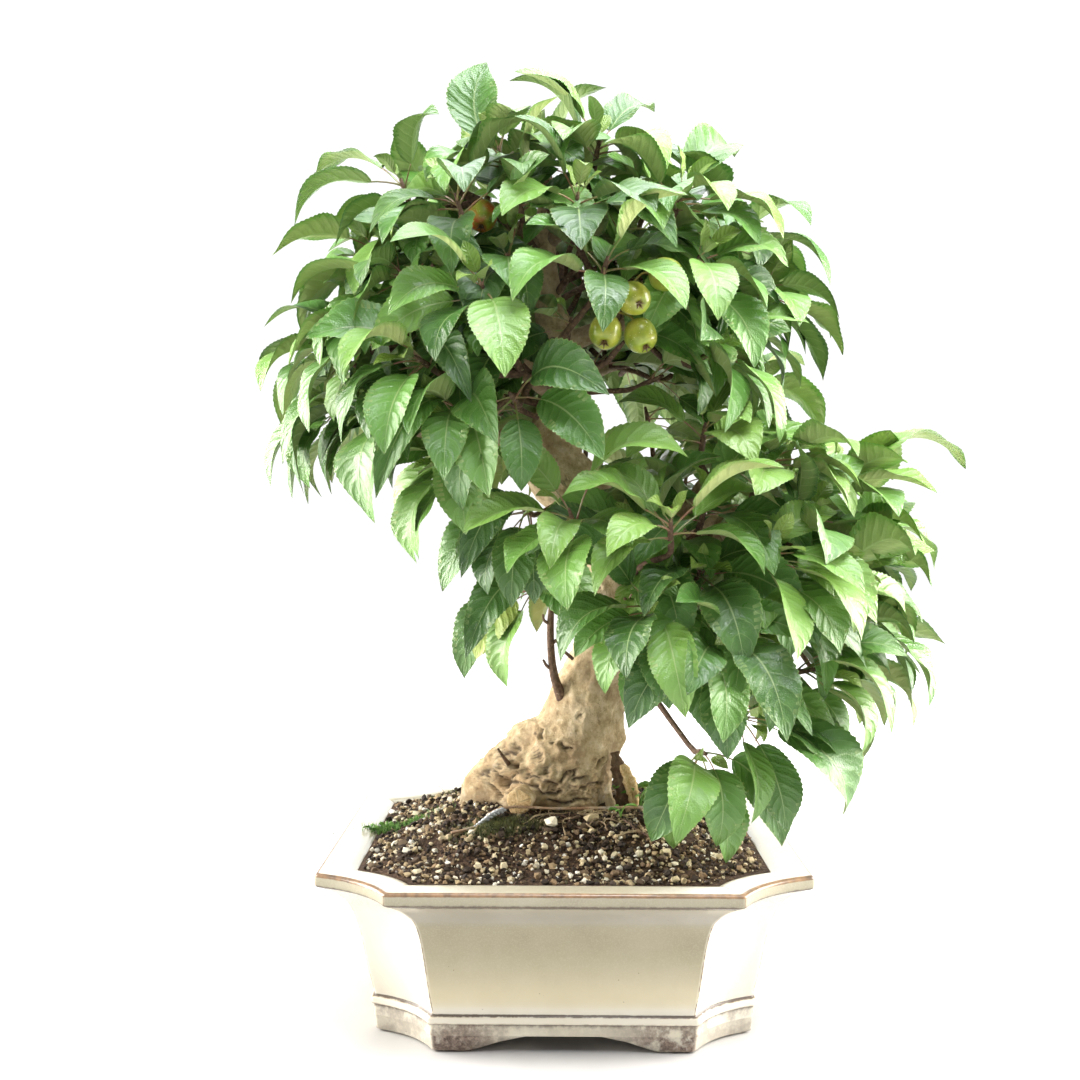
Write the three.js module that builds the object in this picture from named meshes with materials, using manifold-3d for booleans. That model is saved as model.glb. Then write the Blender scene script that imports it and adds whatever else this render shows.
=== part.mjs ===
// Crabapple bonsai: a flowering crabapple tree in a cream glazed pot, filled with granular soil.
// Millimetres, +Z up, +Y to the back. The tree is laid out from the middle of the pot's foot plane,
// and the finished group is then moved so that the bottom centre of its whole box is the origin.
import * as THREE from "three";
import { mergeVertices } from "three/addons/utils/BufferGeometryUtils.js";
import Module from "manifold-3d";

const wasm = await Module();
wasm.setup();

const radians = (degrees) => (degrees * Math.PI) / 180;
const { lerp } = THREE.MathUtils;

// ---------------------------------------------------------------- driving dimensions

// Gap left between pieces that touch.
const TOUCH_GAP = 0.3;

const POT_WIDTH = 360;
const POT_DEPTH = 300;
const CORNER_X = 56;
const CORNER_Y = 39;
const CORNER_STEPS = 3;
const SCOOP_DEPTH = 0.5;
const FOOT_HEIGHT = 13;
const FLOOR_TOP = 21;

// Outer side of the pot from the base band up to the rim: height, inset from the rim, corner scale.
const POT_OUTSIDE = [
  [FOOT_HEIGHT, 37.5, 0.83],
  [21.4, 37.5, 0.83],
  [22.4, 35.5, 0.84],
  [26.6, 35.5, 0.84],
  [28.4, 37.6, 0.85],
  [50, 33.2, 0.88],
  [74, 29.4, 0.9],
  [90, 25.5, 0.93],
  [102, 20.4, 0.96],
  [112, 12.4, 0.99],
  [119, 3.4, 1],
  [120.6, 0.4, 1],
  [128.6, 0, 1],
  [130, 1.4, 1],
];
// Inner side of the pot from the lip of the rim down to the floor.
const POT_INSIDE = [
  [129, 14, 0.9],
  [126.4, 27, 0.78],
  [122, 30.4, 0.76],
  [100, 34, 0.76],
  [60, 41.6, 0.75],
  [FLOOR_TOP, 48, 0.74],
];
// The rim's top slopes in to the lip, so its cutter is this much wider just above the rim.
const MOUTH_FLARE = 6;
const FOOT_INSET = 38;
const FOOT_WALL = 17;
const FOOT_ARCH_FRONT = { top: 36, bottom: 62 };
const FOOT_ARCH_SIDE = { top: 26, bottom: 48 };
// The S-shaped side of an arch: how far it flares at the table, and its shoulder below the top.
const ARCH_FLARE = 14;
const ARCH_SHOULDER = 6;
const ARCH_DROP = 3;
const FOOT_SLOPE = 1.5;
// The feet's sharp upright edges are cut back by this much, to either side.
const FOOT_EASE = 4;
const DRAIN_RADIUS = 11;
const DRAIN_SIDES = 16;
const DRAIN_X = 62;
const MESH_LENGTH = 160;
const MESH_WIDTH = 34;
const MESH_THICKNESS = 1.6;
const MESH_HOLE = 10;
const MESH_HOLE_STEP = 7;

// The arch cuts this far into the base, so that no skin of clay is left over it.
const ARCH_OVERCUT = 0.4;

const SOIL_GAP = 0.4;
const SOIL_EDGE_HEIGHT = 121;
const SOIL_MOUND = 31;
const SOIL_RELIEF = 2.2;
const SOIL_TOP_RINGS = [0.93, 0.8, 0.66, 0.52, 0.38];
const TRUNK_FOOT = new THREE.Vector3(-6, 22, 124);
const SOIL_SIDE_HEIGHTS = [FLOOR_TOP + TOUCH_GAP, 60, 100, SOIL_EDGE_HEIGHT];
const SOIL_SIDE_POINTS = 3;

// A bare wire that ties the root ball down: it leaves the soil, crosses it and goes back in.
const WIRE_RADIUS = 1.1;
const WIRE_SIDES = 6;
const WIRE_STEPS = 16;
const WIRE_ROUTE = [
  [80, -38, 128], [79, -38, 146], [70, -39, 157], [8, -41, 158.5], [-48, -40, 158], [-60, -42, 152],
  [-64, -43, 140], [-64, -43, 128],
];

// Trunk path from inside the soil to the crown: x, y, z, half width.
const TRUNK = [
  [-4, 22, 124, 46],
  [-4, 22, 140, 46],
  [-2, 22, 152, 45],
  [2, 21, 166, 43],
  [8, 20, 184, 41],
  [13, 19, 206, 37],
  [20, 17, 235, 31],
  [29, 14, 262, 26.5],
  [37, 11, 292, 24.5],
  [42, 8, 330, 23.5],
  [35, 6, 370, 24],
  [15, 5, 402, 26.5],
  [-8, 5, 430, 27.5],
  [-4, 8, 460, 21.5],
  [3, 9, 488, 17.8],
  [-2, 7, 526, 15.4],
  [-13, 3, 566, 12.2],
  [-16, 0, 602, 10],
  [-13, 0, 640, 7.2],
  [-15, 0, 668, 5],
];
const TRUNK_SIDES = 13;
// Root flare: heading in degrees (0 is +X, 90 is the back), reach added in mm, angular width.
const ROOTS = [
  [181, 24, 24],
  [232, 9, 20],
  [292, 11, 22],
  [352, 15, 24],
  [52, 12, 26],
  [118, 14, 26],
];
const ROOT_FADE_LOW = 158;
const ROOT_FADE_HIGH = 200;

// Branches: points from inside the trunk outwards, as x, y, z, radius.
const BRANCHES = [
  // Upper crown, from the thick bend upwards.
  [[-8, 5, 430, 12], [-58, -12, 448, 9], [-112, -24, 456, 6.5], [-168, -16, 474, 4]],
  [[-2, 8, 500, 10], [-52, -28, 522, 7.5], [-108, -44, 536, 5.5], [-165, -28, 552, 3.6]],
  [[-10, 4, 556, 7.5], [-56, 34, 580, 5.8], [-112, 44, 600, 3.6]],
  [[2, 8, 484, 8.5], [-14, -42, 486, 6.4], [-30, -86, 492, 3.8]],
  [[-2, 7, 526, 9], [42, -16, 540, 6.8], [88, -34, 548, 5.2], [134, -16, 552, 3.6]],
  [[-6, 7, 452, 9], [-40, 58, 474, 6.8], [-86, 98, 494, 5], [-128, 92, 510, 3.6]],
  [[2, 9, 496, 9], [38, 58, 516, 6.6], [78, 98, 530, 4.6], [118, 92, 540, 3.4]],
  [[-16, 0, 598, 6.6], [-46, -22, 622, 5], [-80, -34, 640, 3.4]],
  [[-15, 0, 606, 6.6], [18, -20, 628, 5], [64, -22, 640, 3.4]],
  [[-13, 3, 562, 7], [0, 54, 588, 5.4], [6, 98, 602, 3.6]],
  // Lower right tier, from the side of the trunk.
  [[38, 8, 352, 15], [78, 0, 380, 12.5], [130, -8, 388, 10], [186, -8, 380, 7], [232, 2, 366, 4.2]],
  [[126, -8, 386, 8], [140, -44, 352, 6.2], [146, -62, 306, 4.8], [136, -64, 262, 3.4]],
  [[186, -8, 380, 7], [212, 2, 336, 5.4], [222, 6, 292, 3.6]],
  [[38, 8, 352, 9], [46, -44, 356, 6.6], [52, -86, 348, 4]],
  [[84, 0, 380, 9], [112, 44, 380, 6.8], [150, 72, 356, 5], [190, 70, 322, 3.6]],
  [[40, 9, 320, 6], [4, -18, 326, 4.8], [-14, -30, 334, 3.2]],
  [[98, -4, 384, 8], [116, -22, 416, 6], [146, -24, 428, 3.8]],
];
const BRANCH_SIDES = 5;
// Triangles flatter than this are merged after the wood is joined.
const JOIN_TOLERANCE = 0.12;
// A dead upright sucker beside the trunk.
const DEAD_SHOOT = [[4, 4, 232, 4], [-7, -6, 258, 3.2], [-10, -8, 290, 2.8], [-9, -9, 322, 2.4]];
const TWIG_SIDES = 3;
const TWIG_RADIUS = 2.3;
const TWIG_SWELL = 1.4;
const TWIG_SETBACK = 25;
// Least cosine between a twig's run and the shoot at its end.
const TWIG_TURN = 0.2;
const TWIG_STRAIGHT = 9;
// Twigs leave the trunk from this point of its path upwards.
const TRUNK_TWIGS_FROM = 8;
const TRUNK_STATIONS = 24;
const BRANCH_STATIONS = 16;

// Leafy shoots: where the leaf rosette stands (x, y, z) and how many leaves it carries.
const SHOOTS = [
  // Upper crown, front half.
  [-128, -20, 652, 7], [-79, -84, 622, 7], [-50, -36, 672, 7], [10, -92, 620, 7], [28, -30, 680, 7],
  [90, -60, 632, 7], [136, -6, 616, 7], [-154, -6, 604, 7], [-122, -78, 570, 7], [-57, -128, 548, 7],
  [30, -118, 568, 7], [98, -88, 576, 7], [162, -14, 572, 7], [-160, -64, 522, 7], [-190, 6, 520, 7],
  [-104, -116, 500, 7], [112, -84, 510, 7], [-178, -40, 474, 7], [-132, -80, 468, 7],
  [-80, -106, 462, 7], [-38, -122, 474, 7], [-92, -24, 432, 7], [-20, 8, 686, 7],
  // Upper crown, back half.
  [-64, 60, 656, 7], [62, 64, 632, 7], [-130, 80, 606, 7], [134, 88, 590, 7], [0, 128, 606, 7],
  [-88, 140, 534, 7], [66, 140, 530, 7], [-176, 76, 496, 7], [164, 78, 506, 7],
  // Lower right tier, front half.
  [4, -112, 392, 7], [74, -130, 384, 7], [106, -66, 456, 7], [160, -66, 436, 7], [214, -22, 418, 7],
  [146, -112, 362, 7], [244, 14, 388, 7], [208, -70, 340, 7], [238, -14, 304, 7], [62, -112, 326, 7],
  [112, -116, 300, 7], [134, -90, 240, 7], [104, -92, 214, 6], [240, 40, 262, 7], [188, -66, 272, 7],
  [-30, -52, 392, 7], [-26, -38, 330, 6],
  // Lower right tier, back half.
  [84, 88, 402, 9], [186, 88, 384, 9], [138, 104, 308, 9],
];
// Leaves that are aimed by hand: the shoot and leaf number, the bow of its path and its tip.
const AIMED = [
  { shoot: 2, leaf: 4, bow: [-84, -6, 702], tip: [-61, -4, 751] },
  { shoot: 0, leaf: 5, bow: [-158, -14, 688], tip: [-200, -2, 664] },
  { shoot: 14, leaf: 5, bow: [-222, 2, 534], tip: [-246, -4, 492] },
  { shoot: 36, leaf: 1, bow: [262, -14, 462], tip: [323, -8, 425] },
  { shoot: 32, leaf: 1, bow: [22, -132, 456], tip: [86, -134, 428] },
  { shoot: 43, leaf: 0, bow: [188, -110, 234], tip: [204, -92, 168] },
  { shoot: 46, leaf: 3, bow: [214, -98, 300], tip: [236, -104, 232] },
  { shoot: 44, leaf: 1, bow: [80, -124, 208], tip: [62, -116, 156] },
  { shoot: 44, leaf: 5, bow: [114, -132, 206], tip: [108, -120, 154] },
  { shoot: 48, leaf: 0, bow: [-52, -52, 322], tip: [-68, -44, 276] },
];

const APPLE_RADIUS = 11.5;
const APPLE_SIDES = 7;
const STALK_RADIUS = 0.8;
const STALK_SIDES = 4;
const STALK_LIFT = 0.6;
const FRUIT_SPUR = 5;
const SPUR_SIDES = 5;
// Half section of an apple from the calyx end up to the stalk dimple: radius, height.
const APPLE_PROFILE = [
  [0, -10.4], [3.2, -12], [9.6, -6.8], [11.5, 0.6], [8, 8.4], [0, 8.4],
];
// Fruiting spurs: where the spur starts, the way it points and the middle of each apple.
const FRUITS = [
  {
    name: "fruit_cluster",
    end: [34, -104, 534],
    axis: [-0.1, -1, 0.25],
    apples: [[28, -140, 514], [47, -142, 536], [52, -136, 512], [70, -124, 556]],
  },
  { name: "fruit_single_low", end: [-8, -80, 517], axis: [0, -0.9, -0.3], apples: [[-9, -100, 495]] },
  { name: "fruit_single_high", end: [-58, -40, 632], axis: [-0.1, -0.9, -0.2], apples: [[-61, -60, 614]] },
];

// A crown heart is the middle that its shoots point away from: x, y, lowest and highest shoot.
const CROWN_HEART = [-8, 20, 430, 690];
const TIER_HEART = [84, 10, 230, 460];
const TIER_SPLIT = 480;
const RISE_LOW = 8;
const RISE_HIGH = 72;
const SHOOT_LENGTH = 18;
const SHOOT_RADIUS = 2.1;
const SHOOT_TAPER = 0.3;

// Leaves grow on a spiral: the turn from leaf to leaf and from shoot to shoot, in degrees.
const SPIRAL = 137.5;
const SPIRAL_SHIFT = 61;
const SPREAD_OLD = 86;
const SPREAD_YOUNG = 48;
const OUT_PULL = 0.4;
const SAG_LOW = 0.95;
const SAG_HIGH = 0.48;
const SAG_LEAN = 0.15;
const SAG_LEAN_WIDTH = 240;
const HANG_RANGE = [0.65, 1.35];
const LEAF_REACH = 84;
const REACH_RANGE = [0.82, 1.12];
const LEAF_BOW = 0.52;
// Half width of the narrowest and the broadest leaves, as a share of their reach.
const LEAF_SLIM = 0.205;
const LEAF_BROAD = 0.26;
const LEAF_THICKNESS = 1.5;
const LEAF_CLEARANCE = 0.3;
const LOOSE_START = 0.08;
const NOTCHED_SHARE = 0.25;
const YAW_JITTER = 26;
const STALK_HALF = 0.75;
const STALK_END = 0.25;
const MIDRIB_STOP = 0.56;
const ROLL_MOST = 24;
// How far blades face outwards rather than up, on the lowest and on the highest shoots.
const FACE_OUT_LOW = 1.5;
const FACE_OUT_HIGH = 0.3;
const FACE_LOST = 0.2;
const FOLD = radians(20);
// Leaf outline on each side: place along the path, share of the half width, only on notched leaves.
const EDGE_POINTS = [
  [STALK_END, 0.05],
  [0.44, 1],
  [0.6, 0.82],
  [0.645, 0.94],
  [0.79, 0.46, true],
  [0.825, 0.52, true],
];
const EDGE_SHIFT = 0.015;
// Turns tried in order until a leaf is clear: about the upright, then up or down, in degrees.
const BENDS = [
  [0, 0], [14, 0], [-14, 0], [0, -14], [0, 10], [27, -6], [-27, -6], [0, -28], [42, -8],
  [-42, -8], [0, 20], [58, -12], [-58, -12], [28, -36], [-28, -36], [80, 0], [-80, 0],
];

// ---------------------------------------------------------------- small helpers

const UP = new THREE.Vector3(0, 0, 1);
const vec = ([x, y, z]) => new THREE.Vector3(x, y, z);
const clamp01 = (value) => Math.min(1, Math.max(0, value));

function smooth(low, high, value) {
  const t = clamp01((value - low) / (high - low));
  return t * t * (3 - 2 * t);
}

// A repeatable number from 0 to 1 for three whole numbers: an integer hash over 32 bits.
const HASH_PRIMES = [374761393, 668265263, 974634777];
const HASH_MIX = 1274126177;
function chance(...numbers) {
  const seed = numbers.reduce((sum, n, i) => sum ^ Math.imul(n + 1, HASH_PRIMES[i]), 0);
  const mixed = Math.imul(seed ^ (seed >>> 13), HASH_MIX);
  return ((mixed ^ (mixed >>> 16)) >>> 0) / 2 ** 32;
}

function geometryFrom(points, faces) {
  const geometry = new THREE.BufferGeometry();
  geometry.setAttribute("position", new THREE.Float32BufferAttribute(points.flat(), 3));
  geometry.setIndex(faces.flat());
  return geometry;
}

function toSolid(geometry) {
  const bare = geometry.clone();
  bare.deleteAttribute("normal");
  bare.deleteAttribute("uv");
  const merged = mergeVertices(bare, 1e-4);
  return new wasm.Manifold(new wasm.Mesh({
    numProp: 3,
    vertProperties: new Float32Array(merged.attributes.position.array),
    triVerts: new Uint32Array(merged.index.array),
  }));
}

function solidMesh(name, solid, look) {
  const { numProp, vertProperties, triVerts } = solid.getMesh();
  const points = [];
  for (let i = 0; i < vertProperties.length; i += numProp) {
    points.push([vertProperties[i], vertProperties[i + 1], vertProperties[i + 2]]);
  }
  const mesh = new THREE.Mesh(geometryFrom(points, Array.from(triVerts)), look);
  mesh.geometry.computeVertexNormals();
  mesh.name = name;
  return mesh;
}

// The largest connected body of a solid: loose scraps and sealed hollows are dropped.
function mainBody(solid) {
  return solid.decompose().reduce((best, next) => (next.volume() > best.volume() ? next : best));
}

// A closed skin over rings of equal length, with a fan over each end.
function loft(rings) {
  const count = rings[0].length;
  const points = rings.flat().map((p) => [p.x, p.y, p.z]);
  const faces = [];
  for (let r = 0; r + 1 < rings.length; r += 1) {
    for (let i = 0; i < count; i += 1) {
      const a = r * count + i;
      const b = r * count + ((i + 1) % count);
      faces.push([a, b, b + count], [a, b + count, a + count]);
    }
  }
  const last = (rings.length - 1) * count;
  for (const [start, flip] of [[0, true], [last, false]]) {
    const ring = rings[start / count];
    const middle = ring.reduce((sum, p) => sum.add(p), new THREE.Vector3()).divideScalar(count);
    const hub = points.push([middle.x, middle.y, middle.z]) - 1;
    for (let i = 0; i < count; i += 1) {
      const next = start + ((i + 1) % count);
      faces.push(flip ? [hub, next, start + i] : [hub, start + i, next]);
    }
  }
  return geometryFrom(points, faces);
}

// Rings round a path: each station holds a point, a half width and an optional outline rule.
function tubeRings(stations, sides, outline = () => 1) {
  const points = stations.map(vec);
  const rings = [];
  let across = new THREE.Vector3(1, 0, 0);
  points.forEach((point, i) => {
    const ahead = points[Math.min(i + 1, points.length - 1)];
    const behind = points[Math.max(i - 1, 0)];
    const along = ahead.clone().sub(behind).normalize();
    if (Math.abs(along.dot(across)) > 0.95) across = new THREE.Vector3(0, 1, 0);
    across = across.clone().addScaledVector(along, -across.dot(along)).normalize();
    const upward = along.clone().cross(across);
    const ring = [];
    for (let k = 0; k < sides; k += 1) {
      const angle = (2 * Math.PI * k) / sides;
      const radius = stations[i][3] * outline(angle, point, i);
      ring.push(point.clone()
        .addScaledVector(across, radius * Math.cos(angle))
        .addScaledVector(upward, radius * Math.sin(angle)));
    }
    rings.push(ring);
  });
  return rings;
}

// ---------------------------------------------------------------- pot

// The pot's plan at one height: a rectangle with a concave scoop out of each corner.
// A corner lies halfway between a straight cut and a quarter ellipse round the missing corner.
function potRing(height, inset, cornerScale) {
  const halfX = POT_WIDTH / 2 - inset;
  const halfY = POT_DEPTH / 2 - inset;
  const scoopX = CORNER_X * cornerScale;
  const scoopY = CORNER_Y * cornerScale;
  const ring = [];
  for (const [sideX, sideY, backwards] of [[1, -1, 0], [1, 1, 1], [-1, 1, 0], [-1, -1, 1]]) {
    for (let i = 0; i <= CORNER_STEPS; i += 1) {
      const t = backwards ? 1 - i / CORNER_STEPS : i / CORNER_STEPS;
      const cutX = lerp(1 - t, Math.cos((t * Math.PI) / 2), SCOOP_DEPTH);
      const cutY = lerp(t, Math.sin((t * Math.PI) / 2), SCOOP_DEPTH);
      const x = sideX * (halfX - scoopX * cutX);
      const y = sideY * (halfY - scoopY * cutY);
      ring.push(new THREE.Vector3(x, y, height));
    }
  }
  return ring;
}

// The same ring with extra points along its four straight sides.
function withSidePoints(ring, extra) {
  const cornerPoints = CORNER_STEPS + 1;
  const result = [];
  ring.forEach((point, i) => {
    result.push(point);
    if (i % cornerPoints !== CORNER_STEPS) return;
    const next = ring[(i + 1) % ring.length];
    for (let k = 1; k <= extra; k += 1) result.push(point.clone().lerp(next, k / (extra + 1)));
  });
  return result;
}

// The same ring with each sharp corner cut off by an even amount to either side.
function easedRing(ring, ease) {
  return ring.flatMap((point, i) => {
    const stepInCorner = i % (CORNER_STEPS + 1);
    if (stepInCorner !== 0 && stepInCorner !== CORNER_STEPS) return [point];
    const before = ring[(i + ring.length - 1) % ring.length].clone().sub(point).setLength(ease);
    const after = ring[(i + 1) % ring.length].clone().sub(point).setLength(ease);
    return [before.add(point), after.add(point)];
  });
}

function drainCutter(x) {
  const cutter = new THREE.CylinderGeometry(DRAIN_RADIUS, DRAIN_RADIUS, 3 * FOOT_HEIGHT, DRAIN_SIDES);
  cutter.rotateX(Math.PI / 2);
  cutter.translate(x, 0, FLOOR_TOP - FOOT_HEIGHT);
  return toSolid(cutter);
}

// The opening between two feet: wide at the table and narrow above, with an S-shaped side.
function footArch({ top, bottom }, length) {
  const low = bottom - ARCH_FLARE;
  const high = low + ARCH_SHOULDER;
  const shoulder = [top + ARCH_SHOULDER, FOOT_HEIGHT - ARCH_DROP];
  const crown = FOOT_HEIGHT + ARCH_OVERCUT;
  const shape = new THREE.Shape();
  shape.moveTo(-bottom, -1);
  shape.lineTo(bottom, -1);
  shape.bezierCurveTo(low, 1, high, shoulder[1] - 2, ...shoulder);
  shape.lineTo(top, crown);
  shape.lineTo(-top, crown);
  shape.lineTo(-shoulder[0], shoulder[1]);
  shape.bezierCurveTo(-high, shoulder[1] - 2, -low, 1, -bottom, -1);
  const arch = new THREE.ExtrudeGeometry(shape, { depth: length, bevelEnabled: false, curveSegments: 4 });
  arch.translate(0, 0, -length / 2);
  arch.rotateX(Math.PI / 2);
  return arch;
}

function makePot() {
  const bottom = POT_OUTSIDE[0];
  const outer = POT_OUTSIDE.map(([z, inset, corner]) => potRing(z, inset, corner));
  const inner = POT_INSIDE.map(([z, inset, corner]) => potRing(z, inset, corner));
  const lip = POT_INSIDE[0];
  const mouth = potRing(POT_OUTSIDE.at(-1)[0] + 1, lip[1] - MOUTH_FLARE, lip[2]);
  const cavity = toSolid(loft([mouth, ...inner].reverse()));
  const footRings = [
    potRing(0, FOOT_INSET + FOOT_SLOPE, bottom[2]),
    potRing(bottom[0] + 1, FOOT_INSET, bottom[2]),
  ];
  const foot = toSolid(loft(footRings.map((ring) => easedRing(ring, FOOT_EASE))));
  const footInside = FOOT_INSET + FOOT_WALL;
  const hollowRings = [-1, bottom[0]].map((height) => potRing(height, footInside, bottom[2]));
  const hollow = toSolid(loft(hollowRings));
  const frontArch = toSolid(footArch(FOOT_ARCH_FRONT, POT_DEPTH));
  const sideArch = footArch(FOOT_ARCH_SIDE, POT_WIDTH);
  sideArch.rotateZ(Math.PI / 2);
  const feet = foot.subtract(hollow).subtract(frontArch).subtract(toSolid(sideArch));
  let pot = toSolid(loft(outer)).add(feet).subtract(cavity);
  for (const side of [-1, 1]) pot = pot.subtract(drainCutter(side * DRAIN_X));
  return pot;
}

// One strip of plastic mesh covers both holes in the floor.
function makeDrainMesh() {
  const sheet = new THREE.BoxGeometry(MESH_LENGTH, MESH_WIDTH, MESH_THICKNESS);
  sheet.translate(0, 0, FLOOR_TOP + TOUCH_GAP + MESH_THICKNESS / 2);
  let solid = toSolid(sheet);
  for (const side of [-1, 1]) {
    for (const step of [-1, 1]) {
      const opening = new THREE.BoxGeometry(MESH_HOLE, MESH_HOLE, MESH_THICKNESS * 4);
      opening.translate(side * DRAIN_X + step * MESH_HOLE_STEP, 0, FLOOR_TOP);
      solid = solid.subtract(toSolid(opening));
    }
  }
  return solid;
}

// ---------------------------------------------------------------- soil and wire

function potInsideAt(height) {
  const rows = POT_INSIDE;
  const upper = rows.findIndex(([z]) => z <= height);
  const [z1, inset1, corner1] = rows[Math.max(upper, 1)];
  const [z0, inset0, corner0] = rows[Math.max(upper, 1) - 1];
  const t = (height - z1) / (z0 - z1);
  return [lerp(inset1, inset0, t), lerp(corner1, corner0, t)];
}

function soilRing(height) {
  const [inset, corner] = potInsideAt(height);
  return withSidePoints(potRing(height, inset + SOIL_GAP, corner), SOIL_SIDE_POINTS);
}

function soilTopRing(edge, share, row) {
  const rise = SOIL_MOUND * smooth(1, SOIL_TOP_RINGS.at(-1), share);
  return edge.map((point, i) => {
    const ring = TRUNK_FOOT.clone().lerp(point, share);
    const relief = SOIL_RELIEF * (2 * chance(row, i, 7) - 1);
    return ring.setZ(SOIL_EDGE_HEIGHT + rise + relief);
  });
}

function wireGeometry(radius, overrun) {
  const points = WIRE_ROUTE.map(vec);
  points[0].z -= overrun;
  points.at(-1).z -= overrun;
  const outline = new THREE.Shape();
  for (let k = 0; k < WIRE_SIDES; k += 1) {
    const angle = (2 * Math.PI * k) / WIRE_SIDES;
    const at = [radius * Math.cos(angle), radius * Math.sin(angle)];
    if (k === 0) outline.moveTo(...at);
    else outline.lineTo(...at);
  }
  const extrudePath = new THREE.CatmullRomCurve3(points);
  return new THREE.ExtrudeGeometry(outline, { steps: WIRE_STEPS, bevelEnabled: false, extrudePath });
}

function makeSoil() {
  const sides = SOIL_SIDE_HEIGHTS.map(soilRing);
  const edge = sides.at(-1);
  const top = SOIL_TOP_RINGS.map((share, row) => soilTopRing(edge, share, row));
  let soil = toSolid(loft([...sides, ...top]));
  soil = soil.subtract(toSolid(loft(trunkRings(SOIL_GAP))));
  soil = soil.subtract(toSolid(wireGeometry(WIRE_RADIUS + SOIL_GAP, SOIL_GAP)));
  const pocketSize = [MESH_LENGTH, MESH_WIDTH, 2 * MESH_THICKNESS].map((length) => length + 2 * TOUCH_GAP);
  pocketSize[2] += 2 * TOUCH_GAP;
  const pocket = new THREE.BoxGeometry(...pocketSize);
  pocket.translate(0, 0, FLOOR_TOP);
  soil = soil.subtract(toSolid(pocket));
  return mainBody(soil);
}

// ---------------------------------------------------------------- wood

// How far the root flare widens the trunk in one direction at one height.
function rootFlare(angle, height) {
  const fade = 1 - smooth(ROOT_FADE_LOW, ROOT_FADE_HIGH, height);
  return ROOTS.reduce((sum, [heading, reach, width]) => {
    const off = Math.atan2(Math.sin(angle - radians(heading)), Math.cos(angle - radians(heading)));
    return sum + reach * fade * Math.exp(-((off / radians(width)) ** 2));
  }, 0);
}

function trunkRings(grow) {
  const stations = TRUNK.map(([x, y, z, radius]) => [x, y, z, radius + grow]);
  stations[0][2] -= grow;
  const outline = (angle, point, i) => 1 + rootFlare(angle, point.z) / stations[i][3];
  return tubeRings(stations, TRUNK_SIDES, outline);
}

function alongPath(stations, count) {
  const curve = new THREE.CatmullRomCurve3(stations.map(vec));
  const result = [];
  for (let i = 0; i <= count; i += 1) result.push(curve.getPoint(i / count));
  return result;
}

// The nearest point of the trunk or a branch from which a twig can leave without bending back.
function twigStart(straight, axis) {
  const place = straight.clone().addScaledVector(axis, -TWIG_SETBACK);
  const behind = WOOD_POINTS.filter((p) => straight.clone().sub(p).normalize().dot(axis) > TWIG_TURN);
  return behind.reduce((best, next) => (
    next.distanceToSquared(place) < best.distanceToSquared(place) ? next : best));
}

function twigRings(end, axis) {
  const last = end.clone().addScaledVector(axis, -TOUCH_GAP);
  const straight = last.clone().addScaledVector(axis, -TWIG_STRAIGHT);
  const from = twigStart(straight, axis);
  const stations = [
    [...from.toArray(), TWIG_RADIUS * TWIG_SWELL],
    [...straight.toArray(), TWIG_RADIUS],
    [...last.toArray(), TWIG_RADIUS],
  ];
  return tubeRings(stations, TWIG_SIDES);
}

function makeWood(twigEnds) {
  const tubes = [loft(trunkRings(0)), loft(tubeRings(DEAD_SHOOT, TWIG_SIDES))];
  for (const branch of BRANCHES) tubes.push(loft(tubeRings(branch, BRANCH_SIDES)));
  for (const { end, axis } of twigEnds) tubes.push(loft(twigRings(end, axis)));
  return mainBody(wasm.Manifold.union(tubes.map(toSolid))).simplify(JOIN_TOLERANCE);
}

// ---------------------------------------------------------------- leafy shoots

// The lie of one shoot: its rosette, its own axis and where it starts on its twig.
function shootPlan([x, y, z, leafCount], index) {
  const heart = z > TIER_SPLIT || x < 0 ? CROWN_HEART : TIER_HEART;
  const out = new THREE.Vector3(x - heart[0], y - heart[1], 0).normalize();
  const height = smooth(heart[2], heart[3], z);
  const rise = radians(lerp(RISE_LOW, RISE_HIGH, height));
  const axis = out.clone().multiplyScalar(Math.cos(rise)).addScaledVector(UP, Math.sin(rise));
  const tip = new THREE.Vector3(x, y, z);
  const end = tip.clone().addScaledVector(axis, -SHOOT_LENGTH);
  const sideA = axis.clone().cross(UP).normalize();
  const sideB = axis.clone().cross(sideA);
  const sag = lerp(SAG_LOW, SAG_HIGH, height) - SAG_LEAN * (x / SAG_LEAN_WIDTH);
  const face = UP.clone().addScaledVector(out, lerp(FACE_OUT_LOW, FACE_OUT_HIGH, height));
  return { index, leafCount, out, axis, sideA, sideB, face: face.normalize(), tip, end, sag };
}

// Leaves stand two to a row, with a bare row at each end of the shoot.
const leafRow = (i) => 1 + Math.floor(i / 2);
const rowCountOf = (shoot) => leafRow(shoot.leafCount - 1) + 2;
const rowPlace = (shoot, row) => shoot.end.clone()
  .addScaledVector(shoot.axis, (SHOOT_LENGTH * row) / (rowCountOf(shoot) - 1));

// One ring of the three-sided shoot: each ring is turned half a side from the one before.
function stemRing(shoot, row) {
  const { sideA, sideB } = shoot;
  const taper = 1 - (SHOOT_TAPER * row) / (rowCountOf(shoot) - 1);
  const centre = rowPlace(shoot, row);
  return [0, 1, 2].map((k) => {
    const angle = ((k + (row % 2) / 2) * 2 * Math.PI) / 3;
    return centre.clone()
      .addScaledVector(sideA, SHOOT_RADIUS * taper * Math.cos(angle))
      .addScaledVector(sideB, SHOOT_RADIUS * taper * Math.sin(angle));
  });
}

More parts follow.
